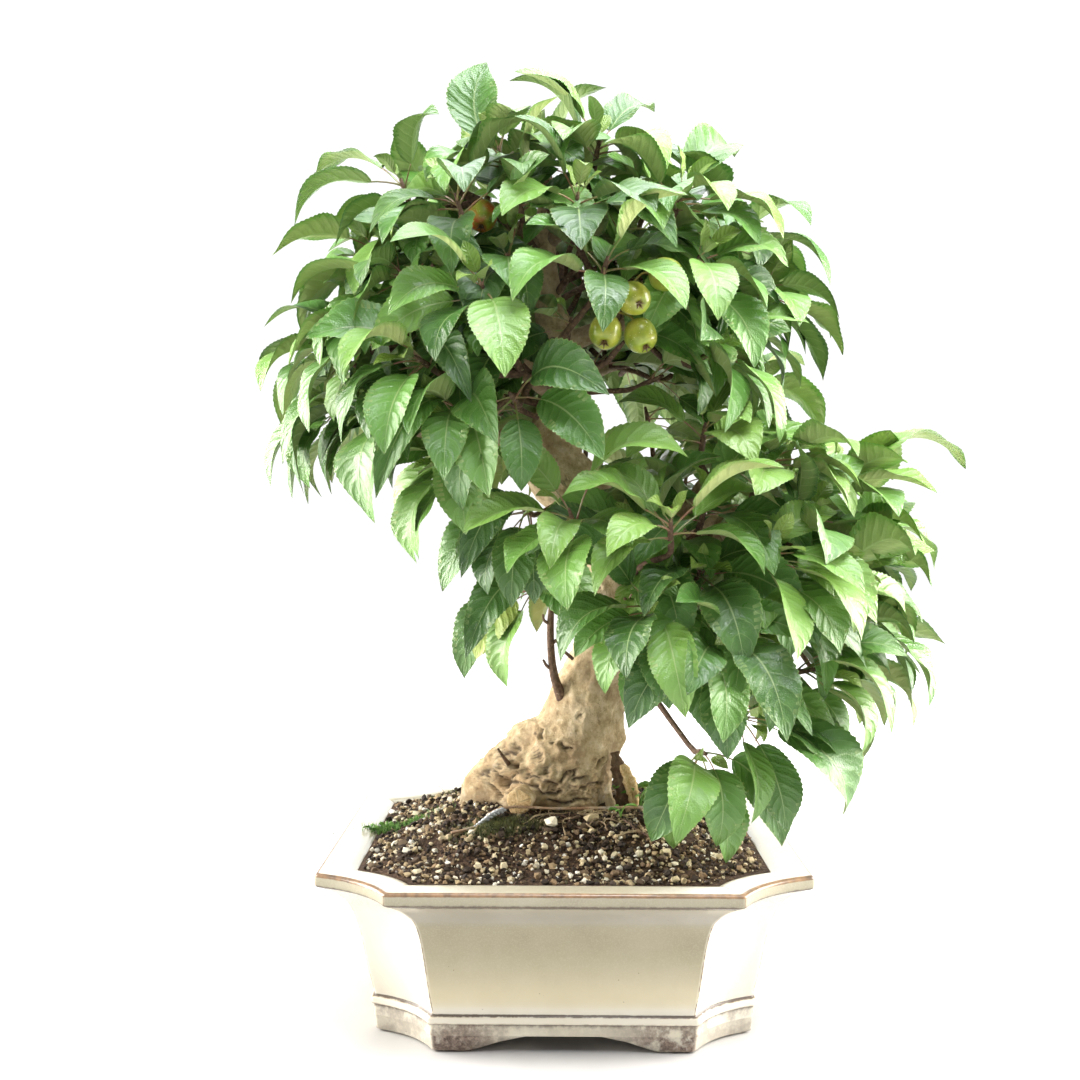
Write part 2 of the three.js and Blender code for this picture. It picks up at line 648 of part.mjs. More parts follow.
// The side of the shoot from which leaf i grows, as near as can be to a spiral of golden angles.
function leafSide({ index }, i) {
  const row = leafRow(i);
  const turns = (SPIRAL * i + SPIRAL_SHIFT * index) / 360;
  const k = Math.round(turns * 3 - 0.5 - (row % 2) / 2);
  const angle = ((k + 0.5 + (row % 2) / 2) * 2 * Math.PI) / 3;
  return { row, k: ((k % 3) + 3) % 3, angle };
}

// One leaf: its root on the shoot, the way its stalk leaves, its tip, and its half width.
function leafPlan(shoot, i, [yaw, pitch]) {
  const { index, axis, sideA, sideB, out, face, sag, leafCount } = shoot;
  const { row, angle } = leafSide(shoot, i);
  const age = (i + 0.5) / leafCount;
  const spread = radians(lerp(SPREAD_OLD, SPREAD_YOUNG, age));
  const side = sideA.clone().multiplyScalar(Math.cos(angle)).addScaledVector(sideB, Math.sin(angle));
  const stalk = axis.clone().multiplyScalar(Math.cos(spread))
    .addScaledVector(side, Math.sin(spread))
    .addScaledVector(out, OUT_PULL)
    .normalize();
  const tilt = stalk.clone().cross(UP).normalize();
  const turn = radians(yaw + YAW_JITTER * (chance(index, i, 1) - 0.5));
  stalk.applyAxisAngle(tilt, radians(pitch)).applyAxisAngle(UP, turn);
  const root = rowPlace(shoot, row);
  const reach = LEAF_REACH * lerp(...REACH_RANGE, chance(index, i, 2));
  const hang = sag * lerp(...HANG_RANGE, chance(index, i, 3));
  const chord = stalk.clone().addScaledVector(UP, -hang).normalize();
  const tip = root.clone().addScaledVector(chord, reach);
  const bow = root.clone().addScaledVector(stalk, reach * LEAF_BOW);
  const half = reach * lerp(LEAF_SLIM, LEAF_BROAD, chance(index, i, 4));
  const roll = radians(ROLL_MOST * (2 * chance(index, i, 5) - 1));
  const notched = chance(index, i, 6) < NOTCHED_SHARE;
  const aimed = AIMED.find((entry) => entry.shoot === index && entry.leaf === i);
  if (!aimed) return { root, bow, tip, half, roll, face, notched };
  const aimedTip = vec(aimed.tip);
  const aimedHalf = LEAF_BROAD * root.distanceTo(aimedTip);
  return { root, bow: vec(aimed.bow), tip: aimedTip, half: aimedHalf, roll: 0, face, notched: true };
}

// Frame of the leaf's path at t: the point, the way across the blade and the way up from it.
function leafFrame({ root, bow, tip, roll, face }, t) {
  const path = new THREE.QuadraticBezierCurve3(root, bow, tip);
  const point = path.getPoint(t);
  const tangent = path.getTangent(t);
  const chord = tip.clone().sub(root).normalize();
  const side = chord.clone().cross(face);
  if (side.length() < FACE_LOST) side.copy(chord.clone().cross(UP));
  side.applyAxisAngle(chord, roll);
  const across = side.addScaledVector(tangent, -tangent.dot(side)).normalize();
  const upward = across.clone().cross(tangent).normalize();
  return { point, across, upward };
}

// Triangles between a middle line and an edge line that end in the same last point.
function strip(middle, edge, flip) {
  const faces = [];
  let m = 0;
  let e = 0;
  while (m + 1 < middle.length || e + 1 < edge.length) {
    const nextMiddle = middle[m + 1]?.t ?? Infinity;
    const nextEdge = edge[e + 1]?.t ?? Infinity;
    const moveEdge = nextEdge <= nextMiddle;
    const third = moveEdge ? edge[e + 1] : middle[m + 1];
    const face = [middle[m].id, edge[e].id, third.id];
    if (new Set(face).size === 3) faces.push(flip ? face.reverse() : face);
    if (moveEdge) e += 1;
    else m += 1;
  }
  return faces;
}

// The blade and stalk from four root points (top, left, bottom, right), which points holds already.
function growLeaf(plan, rootIds, points) {
  const add = (t, sideways, upwards) => {
    const { point, across, upward } = leafFrame(plan, t);
    point.addScaledVector(across, sideways).addScaledVector(upward, upwards);
    return { t, id: points.push(point.toArray()) - 1 };
  };
  const [top, left, bottom, right] = rootIds.map((id) => ({ t: 0, id }));
  const tip = add(1, 0, 0);
  const midLine = (start, side) => [
    start, add(STALK_END, 0, side * STALK_HALF), add(MIDRIB_STOP, 0, (side * LEAF_THICKNESS) / 2), tip];
  const topLine = midLine(top, 1);
  const bottomLine = midLine(bottom, -1);
  const edgeLine = (start, side) => {
    const rows = EDGE_POINTS.filter(([, , onlyNotched]) => !onlyNotched || plan.notched);
    const line = rows.map(([t, share]) => {
      const width = share * plan.half;
      const shift = t > MIDRIB_STOP ? side * EDGE_SHIFT : 0;
      return add(t + shift, side * width * Math.cos(FOLD), width * Math.sin(FOLD));
    });
    return [start, ...line, tip];
  };
  const leftLine = edgeLine(left, 1);
  const rightLine = edgeLine(right, -1);
  return [
    ...strip(topLine, leftLine, false), ...strip(topLine, rightLine, true),
    ...strip(bottomLine, leftLine, true), ...strip(bottomLine, rightLine, false),
  ];
}

// A leaf as a closed solid of its own, from a little way up its stalk, to test what it meets.
function looseLeaf(plan) {
  const { point, across, upward } = leafFrame(plan, LOOSE_START);
  const ways = [upward, across, upward.clone().negate(), across.clone().negate()];
  const points = ways.map((way) => point.clone().addScaledVector(way, STALK_HALF).toArray());
  const faces = growLeaf(plan, [0, 1, 2, 3], points);
  faces.push([0, 2, 1], [0, 3, 2]);
  return toSolid(geometryFrom(points, faces));
}

// The shoot's skin as triangles, without the two triangles that each leaf grows out of.
function stemFaces(rowCount, used) {
  const id = (row, k) => row * 3 + (k % 3);
  const faces = [[id(0, 0), id(0, 2), id(0, 1)]];
  for (let row = 0; row + 1 < rowCount; row += 1) {
    const odd = row % 2;
    for (let k = 0; k < 3; k += 1) {
      if (!used.has(`${row},${k}`)) faces.push([id(row, k), id(row, k + 1), id(row + 1, k + odd)]);
      if (used.has(`${row + 1},${k}`)) continue;
      faces.push([id(row, k + 1 - odd), id(row + 1, k + 1), id(row + 1, k)]);
    }
  }
  faces.push([id(rowCount - 1, 0), id(rowCount - 1, 1), id(rowCount - 1, 2)]);
  return faces;
}

// The four shoot points round a leaf's root, turned so that the stalk is twisted least.
function rootLoop({ row, k }, plan, points) {
  const odd = row % 2;
  const id = (r, n) => r * 3 + (n % 3);
  const loop = [id(row + 1, k + odd), id(row, k), id(row - 1, k + odd), id(row, k + 1)];
  const { across, upward } = leafFrame(plan, 0);
  const ways = [upward, across, upward.clone().negate(), across.clone().negate()];
  const centre = loop.reduce((sum, n) => sum.add(vec(points[n])), new THREE.Vector3()).divideScalar(4);
  const fit = (turn) => ways.reduce((sum, way, m) => (
    sum + way.dot(vec(points[loop[(m + turn) % 4]]).sub(centre))), 0);
  const best = [0, 1, 2, 3].reduce((a, b) => (fit(b) > fit(a) ? b : a));
  return [0, 1, 2, 3].map((m) => loop[(m + best) % 4]);
}

const isAimed = (shoot, i) => AIMED.some((entry) => entry.shoot === shoot.index && entry.leaf === i);

const aimedLeaves = (shoot) => AIMED
  .filter((entry) => entry.shoot === shoot.index)
  .map(({ leaf }) => ({ side: leafSide(shoot, leaf), plan: leafPlan(shoot, leaf, BENDS[0]) }));

const shootSolid = (shoot, leaves) => {
  const { points, faces } = shootSkin(shoot, leaves);
  return toSolid(geometryFrom(points, faces));
};

// The shoot with its leaves, grown as one skin. The last leaf's faces come last.
function shootSkin(shoot, leaves) {
  const rowCount = rowCountOf(shoot);
  const points = [];
  for (let row = 0; row < rowCount; row += 1) {
    points.push(...stemRing(shoot, row).map((p) => p.toArray()));
  }
  const used = new Set(leaves.map(({ side }) => `${side.row},${side.k}`));
  const faces = stemFaces(rowCount, used);
  let lastLeaf = faces.length;
  for (const { side, plan } of leaves) {
    lastLeaf = faces.length;
    faces.push(...growLeaf(plan, rootLoop(side, plan, points), points));
  }
  return { points, faces, lastLeaf };
}

// Whether the edge between two points of a skin passes through a face that has neither of them.
function edgeCuts([from, to], face, places) {
  if (face.includes(from) || face.includes(to)) return false;
  const way = places[to].clone().sub(places[from]);
  const ray = new THREE.Ray(places[from], way.clone().normalize());
  const hit = ray.intersectTriangle(...face.map((id) => places[id]), false, new THREE.Vector3());
  return hit !== null && hit.distanceTo(places[from]) <= way.length();
}

const edgesOf = ([a, b, c]) => [[a, b], [b, c], [c, a]];

const facesCross = (one, two, places) => (
  edgesOf(one).some((edge) => edgeCuts(edge, two, places))
  || edgesOf(two).some((edge) => edgeCuts(edge, one, places)));

// Whether the last leaf of a skin cuts through itself or the rest of the skin.
function lastLeafCrosses({ points, faces, lastLeaf }) {
  const places = points.map(vec);
  const boxes = faces.map((face) => new THREE.Box3().setFromPoints(face.map((id) => places[id])));
  for (let i = lastLeaf; i < faces.length; i += 1) {
    for (let k = 0; k < i; k += 1) {
      if (boxes[i].intersectsBox(boxes[k]) && facesCross(faces[i], faces[k], places)) return true;
    }
  }
  return false;
}

const tooNear = (solid, others) => others.some((other) => (
  boxesMeet(solid, other) && solid.minGap(other, LEAF_CLEARANCE) < LEAF_CLEARANCE));

// Each leaf is turned until it is clear of every other piece and leaf. One that never is, is left out.
function makeShoot(shoot, neighbours, wood) {
  const leaves = aimedLeaves(shoot);
  const own = [shootSolid(shoot, leaves)];
  for (let i = 0; i < shoot.leafCount; i += 1) {
    if (isAimed(shoot, i)) continue;
    for (const bend of BENDS) {
      const leaf = { side: leafSide(shoot, i), plan: leafPlan(shoot, i, bend) };
      const loose = looseLeaf(leaf.plan);
      if (tooNear(loose, [...own, wood]) || lastLeafCrosses(shootSkin(shoot, [...leaves, leaf]))) continue;
      if (tooNear(shootSolid(shoot, [leaf]), neighbours)) continue;
      leaves.push(leaf);
      own.push(loose);
      break;
    }
  }
  return shootSolid(shoot, leaves);
}

function boxesMeet(a, b) {
  const one = a.boundingBox();
  const two = b.boundingBox();
  return [0, 1, 2].every((k) => (
    one.min[k] < two.max[k] + LEAF_CLEARANCE && two.min[k] < one.max[k] + LEAF_CLEARANCE));
}

// ---------------------------------------------------------------- fruit

// A crabapple hangs below its stalk, with a dimple at the stalk and a crown of dry calyx below.
function appleGeometry(centre, stalkWay) {
  const profile = APPLE_PROFILE.map(([radius, height]) => new THREE.Vector2(radius, height));
  const apple = new THREE.LatheGeometry(profile, APPLE_SIDES);
  const turn = new THREE.Quaternion().setFromUnitVectors(new THREE.Vector3(0, 1, 0), stalkWay);
  apple.applyQuaternion(turn);
  apple.translate(...centre.toArray());
  return apple;
}

function makeFruit({ end, axis, apples }) {
  const spurEnd = end.clone().addScaledVector(axis, FRUIT_SPUR);
  const spur = [end, spurEnd].map((p) => [...p.toArray(), TWIG_RADIUS]);
  const pieces = [loft(tubeRings(spur, SPUR_SIDES))];
  for (const place of apples.map(vec)) {
    const way = end.clone().sub(place).normalize().addScaledVector(UP, STALK_LIFT).normalize();
    const neck = place.clone().addScaledVector(way, APPLE_RADIUS * 1.5);
    const inside = place.clone().addScaledVector(way, APPLE_RADIUS * 0.3);
    const start = end.clone().lerp(spurEnd, 0.6);
    const stalk = [start, neck, inside].map((p) => [...p.toArray(), STALK_RADIUS]);
    pieces.push(loft(tubeRings(stalk, STALK_SIDES)), appleGeometry(place, way));
  }
  return mainBody(wasm.Manifold.union(pieces.map(toSolid)));
}

// ---------------------------------------------------------------- the whole tree

const looks = {
  glaze: new THREE.MeshStandardMaterial({ color: 0xe6dfc2, roughness: 0.25, metalness: 0 }),
  plastic: new THREE.MeshStandardMaterial({ color: 0x22301f, roughness: 0.7, metalness: 0 }),
  soil: new THREE.MeshStandardMaterial({ color: 0x4a3a2c, roughness: 1, metalness: 0 }),
  wire: new THREE.MeshStandardMaterial({ color: 0x8d8f90, roughness: 0.4, metalness: 0.9 }),
  bark: new THREE.MeshStandardMaterial({ color: 0xa98d68, roughness: 0.9, metalness: 0 }),
  leaf: new THREE.MeshStandardMaterial({ color: 0x3f7d3a, roughness: 0.5, metalness: 0 }),
  fruit: new THREE.MeshStandardMaterial({ color: 0xa9b23a, roughness: 0.35, metalness: 0 }),
};

// Places on the trunk and branches from which twigs may leave.
const WOOD_POINTS = [
  ...alongPath(TRUNK.slice(TRUNK_TWIGS_FROM), TRUNK_STATIONS),
  ...BRANCHES.flatMap((branch) => alongPath(branch.slice(1), BRANCH_STATIONS)),
];

function buildTree() {
  const shoots = SHOOTS.map(shootPlan);
  const fruits = FRUITS.map(({ end, axis, apples }) => (
    { end: vec(end), axis: vec(axis).normalize(), apples }));
  const pot = makePot();
  const soil = makeSoil();
  const wood = makeWood([...shoots, ...fruits]);
  const wire = toSolid(wireGeometry(WIRE_RADIUS, 0));
  const fruitSolids = fruits.map(makeFruit);
  const nodes = [
    ["pot", pot, looks.glaze],
    ["soil", soil, looks.soil],
    ["drain_mesh", makeDrainMesh(), looks.plastic],
    ["tie_wire", wire, looks.wire],
    ["wood", wood, looks.bark],
  ];
  fruitSolids.forEach((solid, i) => nodes.push([FRUITS[i].name, solid, looks.fruit]));
  const fixed = [pot, soil, wire, ...fruitSolids];
  const grown = shoots.map((shoot) => shootSolid(shoot, aimedLeaves(shoot)));
  shoots.forEach((shoot, i) => {
    const neighbours = [...fixed, ...grown.filter((_, k) => k !== i)];
    grown[i] = makeShoot(shoot, neighbours, wood);
    nodes.push([`leafy_shoot_${String(i + 1).padStart(2, "0")}`, grown[i], looks.leaf]);
  });
  return nodes;
}

const tree = new THREE.Group();
for (const [name, solid, look] of buildTree()) tree.add(solidMesh(name, solid, look));
const box = new THREE.Box3().setFromObject(tree);
tree.position.set(-(box.min.x + box.max.x) / 2, -(box.min.y + box.max.y) / 2, -box.min.z);

export default tree;
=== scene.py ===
"""A crabapple bonsai in a cream glazed pot: its looks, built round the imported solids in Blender 4.5.

Lengths are in millimetres from the middle of the pot's foot plane, with +Z up and +Y to the back,
unless a name ends in _M. The tree's driving points are those of the CAD source.
"""

import math

import bpy
import numpy as np
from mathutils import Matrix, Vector, noise


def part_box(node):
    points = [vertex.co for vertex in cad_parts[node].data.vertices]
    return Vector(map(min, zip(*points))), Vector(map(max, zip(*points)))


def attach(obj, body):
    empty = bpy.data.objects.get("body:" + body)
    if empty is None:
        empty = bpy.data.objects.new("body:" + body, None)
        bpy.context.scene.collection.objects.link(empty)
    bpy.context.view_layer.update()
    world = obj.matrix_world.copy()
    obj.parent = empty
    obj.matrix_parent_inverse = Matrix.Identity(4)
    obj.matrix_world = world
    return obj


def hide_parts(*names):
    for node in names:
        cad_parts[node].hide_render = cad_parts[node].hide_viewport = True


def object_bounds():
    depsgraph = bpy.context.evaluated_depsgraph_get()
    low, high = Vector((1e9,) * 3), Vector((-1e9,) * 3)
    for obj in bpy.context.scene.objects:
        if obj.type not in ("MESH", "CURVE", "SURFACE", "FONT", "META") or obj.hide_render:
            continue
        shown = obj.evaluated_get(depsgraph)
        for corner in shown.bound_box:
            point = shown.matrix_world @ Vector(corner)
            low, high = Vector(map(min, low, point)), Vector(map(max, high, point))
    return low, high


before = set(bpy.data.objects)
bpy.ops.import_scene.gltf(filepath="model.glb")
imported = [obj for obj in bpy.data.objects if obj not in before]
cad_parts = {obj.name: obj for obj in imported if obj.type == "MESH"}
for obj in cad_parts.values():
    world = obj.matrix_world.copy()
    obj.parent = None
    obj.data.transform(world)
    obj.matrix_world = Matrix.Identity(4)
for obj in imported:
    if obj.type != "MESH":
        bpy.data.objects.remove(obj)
CAD_BOX_M = [list(corner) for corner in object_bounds()]
POT_LOW_M, POT_HIGH_M = (np.array(corner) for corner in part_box("pot"))
ORIGIN_M = np.array([*(POT_LOW_M + POT_HIGH_M)[:2] / 2, POT_LOW_M[2]])
MM = 0.001
UP = np.array([0.0, 0.0, 1.0])
# A way across a path is changed for another once it lies this near to the path's own way.
TOO_ALONG = 0.95

# ---------------------------------------------------------------- small helpers


def unit(vectors):
    return vectors / np.linalg.norm(vectors, axis=-1, keepdims=True)


def lerp(low, high, t):
    return low + (high - low) * t


def smooth(low, high, value):
    t = np.clip((value - low) / (high - low), 0, 1)
    return t * t * (3 - 2 * t)


def bell(distance, width):
    return np.exp(-((distance / width) ** 2))


def turned(vector, axis, angle):
    """The vector turned about a unit axis."""
    cos, sin = math.cos(angle), math.sin(angle)
    return vector * cos + np.cross(axis, vector) * sin + axis * np.dot(axis, vector) * (1 - cos)


def drift(points, size, octaves=3, shift=0.0):
    """Smooth noise of about -1 to 1 at each point, whose features are about size across."""
    places = np.asarray(points, float) / size + shift
    return np.array([noise.fractal(Vector(p), 1.0, 2.0, octaves) for p in places])


def rough(points, layers):
    """Layers of smooth noise added up: the height, size, octaves and shift of each."""
    return sum(height * drift(points, size, octaves, shift) for height, size, octaves, shift in layers)


def level(places, height=0):
    """Places on the plan as points at a height, or each at its own."""
    return np.column_stack([places, np.broadcast_to(height, len(places))])


def heading_of(angle):
    """The level unit vector at an angle from X."""
    return np.array([math.cos(angle), math.sin(angle), 0])


def ring_angles(count):
    return 2 * np.pi * np.arange(count) / count


def spokes(across, upward, count):
    """Unit ways out from an axis, all round it, for each pair of unit ways across it."""
    angles = ring_angles(count)[:, None]
    return across[..., None, :] * np.cos(angles) + upward[..., None, :] * np.sin(angles)


def colour(code):
    """The linear colour of a hexadecimal sRGB code."""
    shares = [int(code[i : i + 2], 16) / 255 for i in (0, 2, 4)]
    linear = [s / 12.92 if s <= 0.04045 else ((s + 0.055) / 1.055) ** 2.4 for s in shares]
    return (*linear, 1.0)


def grid_faces(rows, columns, wrap=True):
    """Quads over points stored row by row. With wrap, each row is a closed ring."""
    spans = columns if wrap else columns - 1
    r, c = np.meshgrid(np.arange(rows - 1), np.arange(spans), indexing="ij")
    a = r * columns + c
    b = r * columns + (c + 1) % columns
    return np.stack([a, b, b + columns, a + columns], axis=-1).reshape(-1, 4)


def tube_faces(rows, sides):
    """Quads round a tube and a flat many-sided face over each end."""
    last = (rows - 1) * sides
    start_cap = np.arange(sides)[::-1].reshape(1, -1)
    end_cap = (last + np.arange(sides)).reshape(1, -1)
    return [grid_faces(rows, sides), start_cap, end_cap]


def repeated(blocks, count, stride):
    """Blocks of faces repeated for each of count copies of the same points."""
    return [(block[None] + stride * np.arange(count)[:, None, None]).reshape(-1, block.shape[1])
            for block in blocks]


def frames_along(path):
    """Two unit vectors across a path at each of its points, turned as little as can be."""
    along = unit(np.gradient(path, axis=0))
    across = np.array([1.0, 0.0, 0.0])
    pairs = []
    for way in along:
        if abs(way @ across) > TOO_ALONG:
            across = np.array([0.0, 1.0, 0.0])
        across = unit(across - way * (way @ across))
        pairs.append((across, np.cross(way, across)))
    return np.array(pairs)


def tube_points(path, radii):
    """Rings of points round a path. radii holds a row of radii for each point of the path."""
    pairs = frames_along(path)
    return path[:, None] + spokes(pairs[:, 0], pairs[:, 1], radii.shape[1]) * radii[:, :, None]


def curve_points(controls, count):
    """A centripetal Catmull-Rom curve through rows of numbers, whose first three are a place."""
    rows = np.asarray(controls, float)
    rows = np.vstack([2 * rows[0] - rows[1], rows, 2 * rows[-1] - rows[-2]])
    result = []
    for share in np.linspace(0, len(rows) - 3, count):
        k = min(int(share), len(rows) - 4)
        p0, p1, p2, p3 = rows[k : k + 4]
        gaps = [math.sqrt(np.linalg.norm((b - a)[:3])) for a, b in ((p0, p1), (p1, p2), (p2, p3))]
        d0, d1, d2 = gaps
        m1 = d1 * ((p1 - p0) / d0 - (p2 - p0) / (d0 + d1) + (p2 - p1) / d1)
        m2 = d1 * ((p2 - p1) / d1 - (p3 - p1) / (d1 + d2) + (p3 - p2) / d2)
        t = share - k
        spread = 2 * p1 - 2 * p2 + m1 + m2
        bend = 3 * (p2 - p1) - 2 * m1 - m2
        result.append(p1 + m1 * t + bend * t**2 + spread * t**3)
    return np.array(result)


class Skin:
    """The points, faces and named values of one piece, gathered part by part."""

    def __init__(self):
        self.points, self.faces, self.values, self.count = [], [], {}, 0

    def add(self, points, faces, **values):
        points = np.asarray(points, float).reshape(-1, 3)
        self.faces += [block + self.count for block in faces]
        self.points.append(points)
        self.count += len(points)
        for name, value in values.items():
            spread = np.broadcast_to(np.asarray(value, float).ravel(), (len(points),))
            self.values.setdefault(name, []).append(spread)

    def tube(self, path, radii, **values):
        """A closed tube round a path, with a row of radii for each of its points."""
        self.add(tube_points(path, radii), tube_faces(*radii.shape), **values)

    def limb(self, rows, sides, **values):
        """A closed round tube along rows of a place and a radius."""
        self.tube(rows[:, :3], np.repeat(rows[:, 3:4], sides, axis=1), **values)

    def mesh(self, name):
        """All that was added, in metres, with the named values on its points."""
        mesh = bpy.data.meshes.new(name)
        points = np.concatenate(self.points) * MM + ORIGIN_M
        sizes = np.concatenate([np.full(len(block), block.shape[1]) for block in self.faces])
        corners = np.concatenate([block.ravel() for block in self.faces])
        starts = np.concatenate([[0], np.cumsum(sizes)[:-1]])
        mesh.vertices.add(len(points))
        mesh.vertices.foreach_set("co", points.astype(np.float32).ravel())
        mesh.loops.add(len(corners))
        mesh.loops.foreach_set("vertex_index", corners.astype(np.int32))
        mesh.polygons.add(len(sizes))
        mesh.polygons.foreach_set("loop_start", starts.astype(np.int32))
        for key, parts in self.values.items():
            layer = mesh.attributes.new(key, "FLOAT", "POINT")
            layer.data.foreach_set("value", np.concatenate(parts).astype(np.float32))
        mesh.update(calc_edges=True)
        mesh.validate()
        mesh.shade_smooth()
        return mesh

    def piece(self, name, look, slot, replaced=()):
        """The finished object, riding on the part's one body."""
        mesh = self.mesh(name)
        mesh.materials.append(look)
        piece = bpy.data.objects.new(name, mesh)
        bpy.context.scene.collection.objects.link(piece)
        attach(piece, "root")
        if replaced:
            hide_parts(*replaced)
        return piece


# ---------------------------------------------------------------- materials


class Look:
    """A material whose nodes are added by short calls. Each call gives back an output socket."""

    def __init__(self, name, **settings):
        self.material = bpy.data.materials.new(name)
        self.material.use_nodes = True
        self.tree = self.material.node_tree
        self.shader = self.tree.nodes["Principled BSDF"]
        self.place = self.tree.nodes.new("ShaderNodeTexCoord").outputs["Object"]
        self.normal = None
        for key, value in settings.items():
            self.set(key.replace("_", " "), value)

    def plug(self, socket, value):
        if isinstance(value, bpy.types.NodeSocket):
            self.tree.links.new(value, socket)
        else:
            socket.default_value = value

    def set(self, name, value):
        self.plug(self.shader.inputs[name], value)

    def node(self, kind, inputs, **settings):
        node = self.tree.nodes.new(kind)
        for key, value in settings.items():
            setattr(node, key, value)
        for key, value in inputs.items():
            self.plug(node.inputs[key], value)
        return node

    def value(self, name):
        """A named value of the mesh."""
        return self.node("ShaderNodeAttribute", {}, attribute_name=name).outputs["Fac"]

    def maths(self, operation, *numbers):
        return self.node("ShaderNodeMath", dict(enumerate(numbers)), operation=operation).outputs[0]

    def times(self, first, second):
        return self.maths("MULTIPLY", first, second)

    def range(self, number, low, high, to_low=0.0, to_high=1.0):
        """The number carried smoothly from one range to another."""
        inputs = {"Value": number, "From Min": low, "From Max": high, "To Min": to_low, "To Max": to_high}
        return self.node("ShaderNodeMapRange", inputs, interpolation_type="SMOOTHSTEP").outputs[0]

    def stretched(self, x, y, z):
        return self.node("ShaderNodeMapping", {"Vector": self.place, "Scale": (x, y, z)}).outputs[0]

    def noise(self, size, detail=3.0, rough=0.55, place=None):
        """Noise of 0 to 1 whose features are about size millimetres across."""
        inputs = {"Vector": place or self.place, "Scale": 1 / (size * MM), "Detail": detail}
        inputs["Roughness"] = rough
        return self.node("ShaderNodeTexNoise", inputs).outputs[0]

    def cells(self, size, place=None, output="Distance", **settings):
        inputs = {"Vector": place or self.place, "Scale": 1 / (size * MM)}
        return self.node("ShaderNodeTexVoronoi", inputs, **settings).outputs[output]

    def ramp(self, number, *stops):
        node = self.node("ShaderNodeValToRGB", {"Fac": number})
        elements = node.color_ramp.elements
        while len(elements) < len(stops):
            elements.new(0.5)
        for element, (position, code) in zip(elements, stops):
            element.position = position
            element.color = colour(code)
        return node.outputs["Color"]

    def mix(self, share, first, second):
        """A blend of two colours, each a socket or a hexadecimal code."""
        first, second = (colour(c) if isinstance(c, str) else c for c in (first, second))
        inputs = {0: share, 6: first, 7: second}
        return self.node("ShaderNodeMix", inputs, data_type="RGBA").outputs[2]

    def layer(self, base, tint, number, low, high, most=1.0):
        """The base under a tint that comes in as the number runs from low to high."""
        return self.mix(self.range(number, low, high, 0.0, most), base, tint)

    def bump(self, height, depth):
        """Relief whose height of 1 stands depth millimetres proud, over the relief there is."""
        inputs = {"Height": height, "Distance": depth * MM}
        if self.normal is not None:
            inputs["Normal"] = self.normal
        self.normal = self.node("ShaderNodeBump", inputs).outputs[0]
        self.set("Normal", self.normal)


def glaze_body(look):
    """Colours of the glaze, paler and greyer by zone, with painted shade under the rim and painted light low
    on the panel.
    """
    cloud = look.noise(60, 4)
    base = look.ramp(cloud, (0.3, "958c73"), (0.5, "9f977c"), (0.72, "a79f86"))
    base = look.layer(base, "b4ac90", look.noise(1.1, 2), 0.44, 0.68, 0.45)
    # Painted light low on the panel, greyer glaze with painted shade under the rim, and paler glaze.
    zones = (("warm", "dacfab", "e2d7b6"), ("cove", "a19a8a", "aca598"), ("pale", "e8e1cf", "eee9da"))
    for zone, low, high in zones:
        base = look.mix(look.value(zone), base, look.ramp(cloud, (0.35, low), (0.65, high)))
    bluish = look.times(look.value("cove"), look.range(look.noise(1.6, 3), 0.5, 0.66))
    return look.mix(look.times(bluish, 0.4), base, "9b9c97")


def glaze_marks(look, base):
    """Brown where the glaze breaks over edges, painted shade in the creases and under the lip with dark
    glaze on the upright edges, and a few spots of iron.
    """
    ragged = look.range(look.noise(5, 3), 0.2, 0.7, 0.75, 1.1)
    rusty = look.ramp(look.noise(6, 4), (0.3, "a27c58"), (0.55, "80634a"), (0.75, "57453a"))
    base = look.layer(base, rusty, look.times(look.value("line"), ragged), 0.5, 0.95, 0.9)
    # Painted shade in the creases and under the lip, and dark glaze on the upright edges.
    base = look.layer(base, "4c3c34", look.times(look.value("crease"), ragged), 0.45, 0.95, 0.9)
    few = look.range(look.noise(18, 2), 0.52, 0.64)
    spots = look.times(look.range(look.cells(7), 0.07, 0.035), few)
    return look.mix(look.times(spots, 0.75), base, "6a5540")


def glaze_look():
    look = Look("cream glaze", Roughness=0.26, IOR=1.5, Coat_Weight=0.2, Coat_Roughness=0.15)
    base = glaze_marks(look, glaze_body(look))
    grime = look.times(look.value("foot"), look.range(look.noise(20, 5, 0.65), 0.38, 0.54))
    patches = look.noise(4, 5, 0.7)
    stain = look.ramp(patches, (0.3, "463933"), (0.46, "766459"), (0.6, "a08f80"), (0.74, "cfc6ba"))
    look.set("Base Color", look.mix(grime, base, stain))
    look.set("Roughness", look.range(grime, 0.0, 1.0, 0.26, 0.7))
    look.bump(look.noise(9, 3), 0.25)
    look.bump(look.noise(1.3, 2), 0.035)
    return look.material


def soil_look():
    look = Look("dark soil", Roughness=0.95)
    crumbs = look.noise(2.2, 5, 0.7)
    base = look.ramp(crumbs, (0.3, "2a1e15"), (0.48, "4a3627"), (0.62, "6b523c"), (0.78, "9b8463"))
    look.set("Base Color", look.layer(base, "3a2b1f", look.noise(30, 3), 0.45, 0.7, 0.5))
    look.bump(look.noise(2.6, 6, 0.75), 1.6)
    look.bump(look.cells(1.7), 0.7)
    return look.material


def grit_look():
    look = Look("soil grains", Roughness=0.85)
    dark = (0.0, "241b14"), (0.34, "3e3024"), (0.5, "6a5742"), (0.62, "947a5a")
    light = (0.74, "ad9975"), (0.84, "d2c19b"), (0.92, "e2d8bd"), (0.98, "ece8dd")
    base = look.ramp(look.value("tone"), *dark, *light)
    base = look.layer(base, "4a3a2c", look.noise(1.0, 4, 0.7), 0.5, 0.8, 0.55)
    look.set("Base Color", look.layer(base, "7f7c4d", look.noise(14, 2), 0.58, 0.75, 0.35))
    look.bump(look.noise(0.7, 4, 0.7), 0.3)
    return look.material


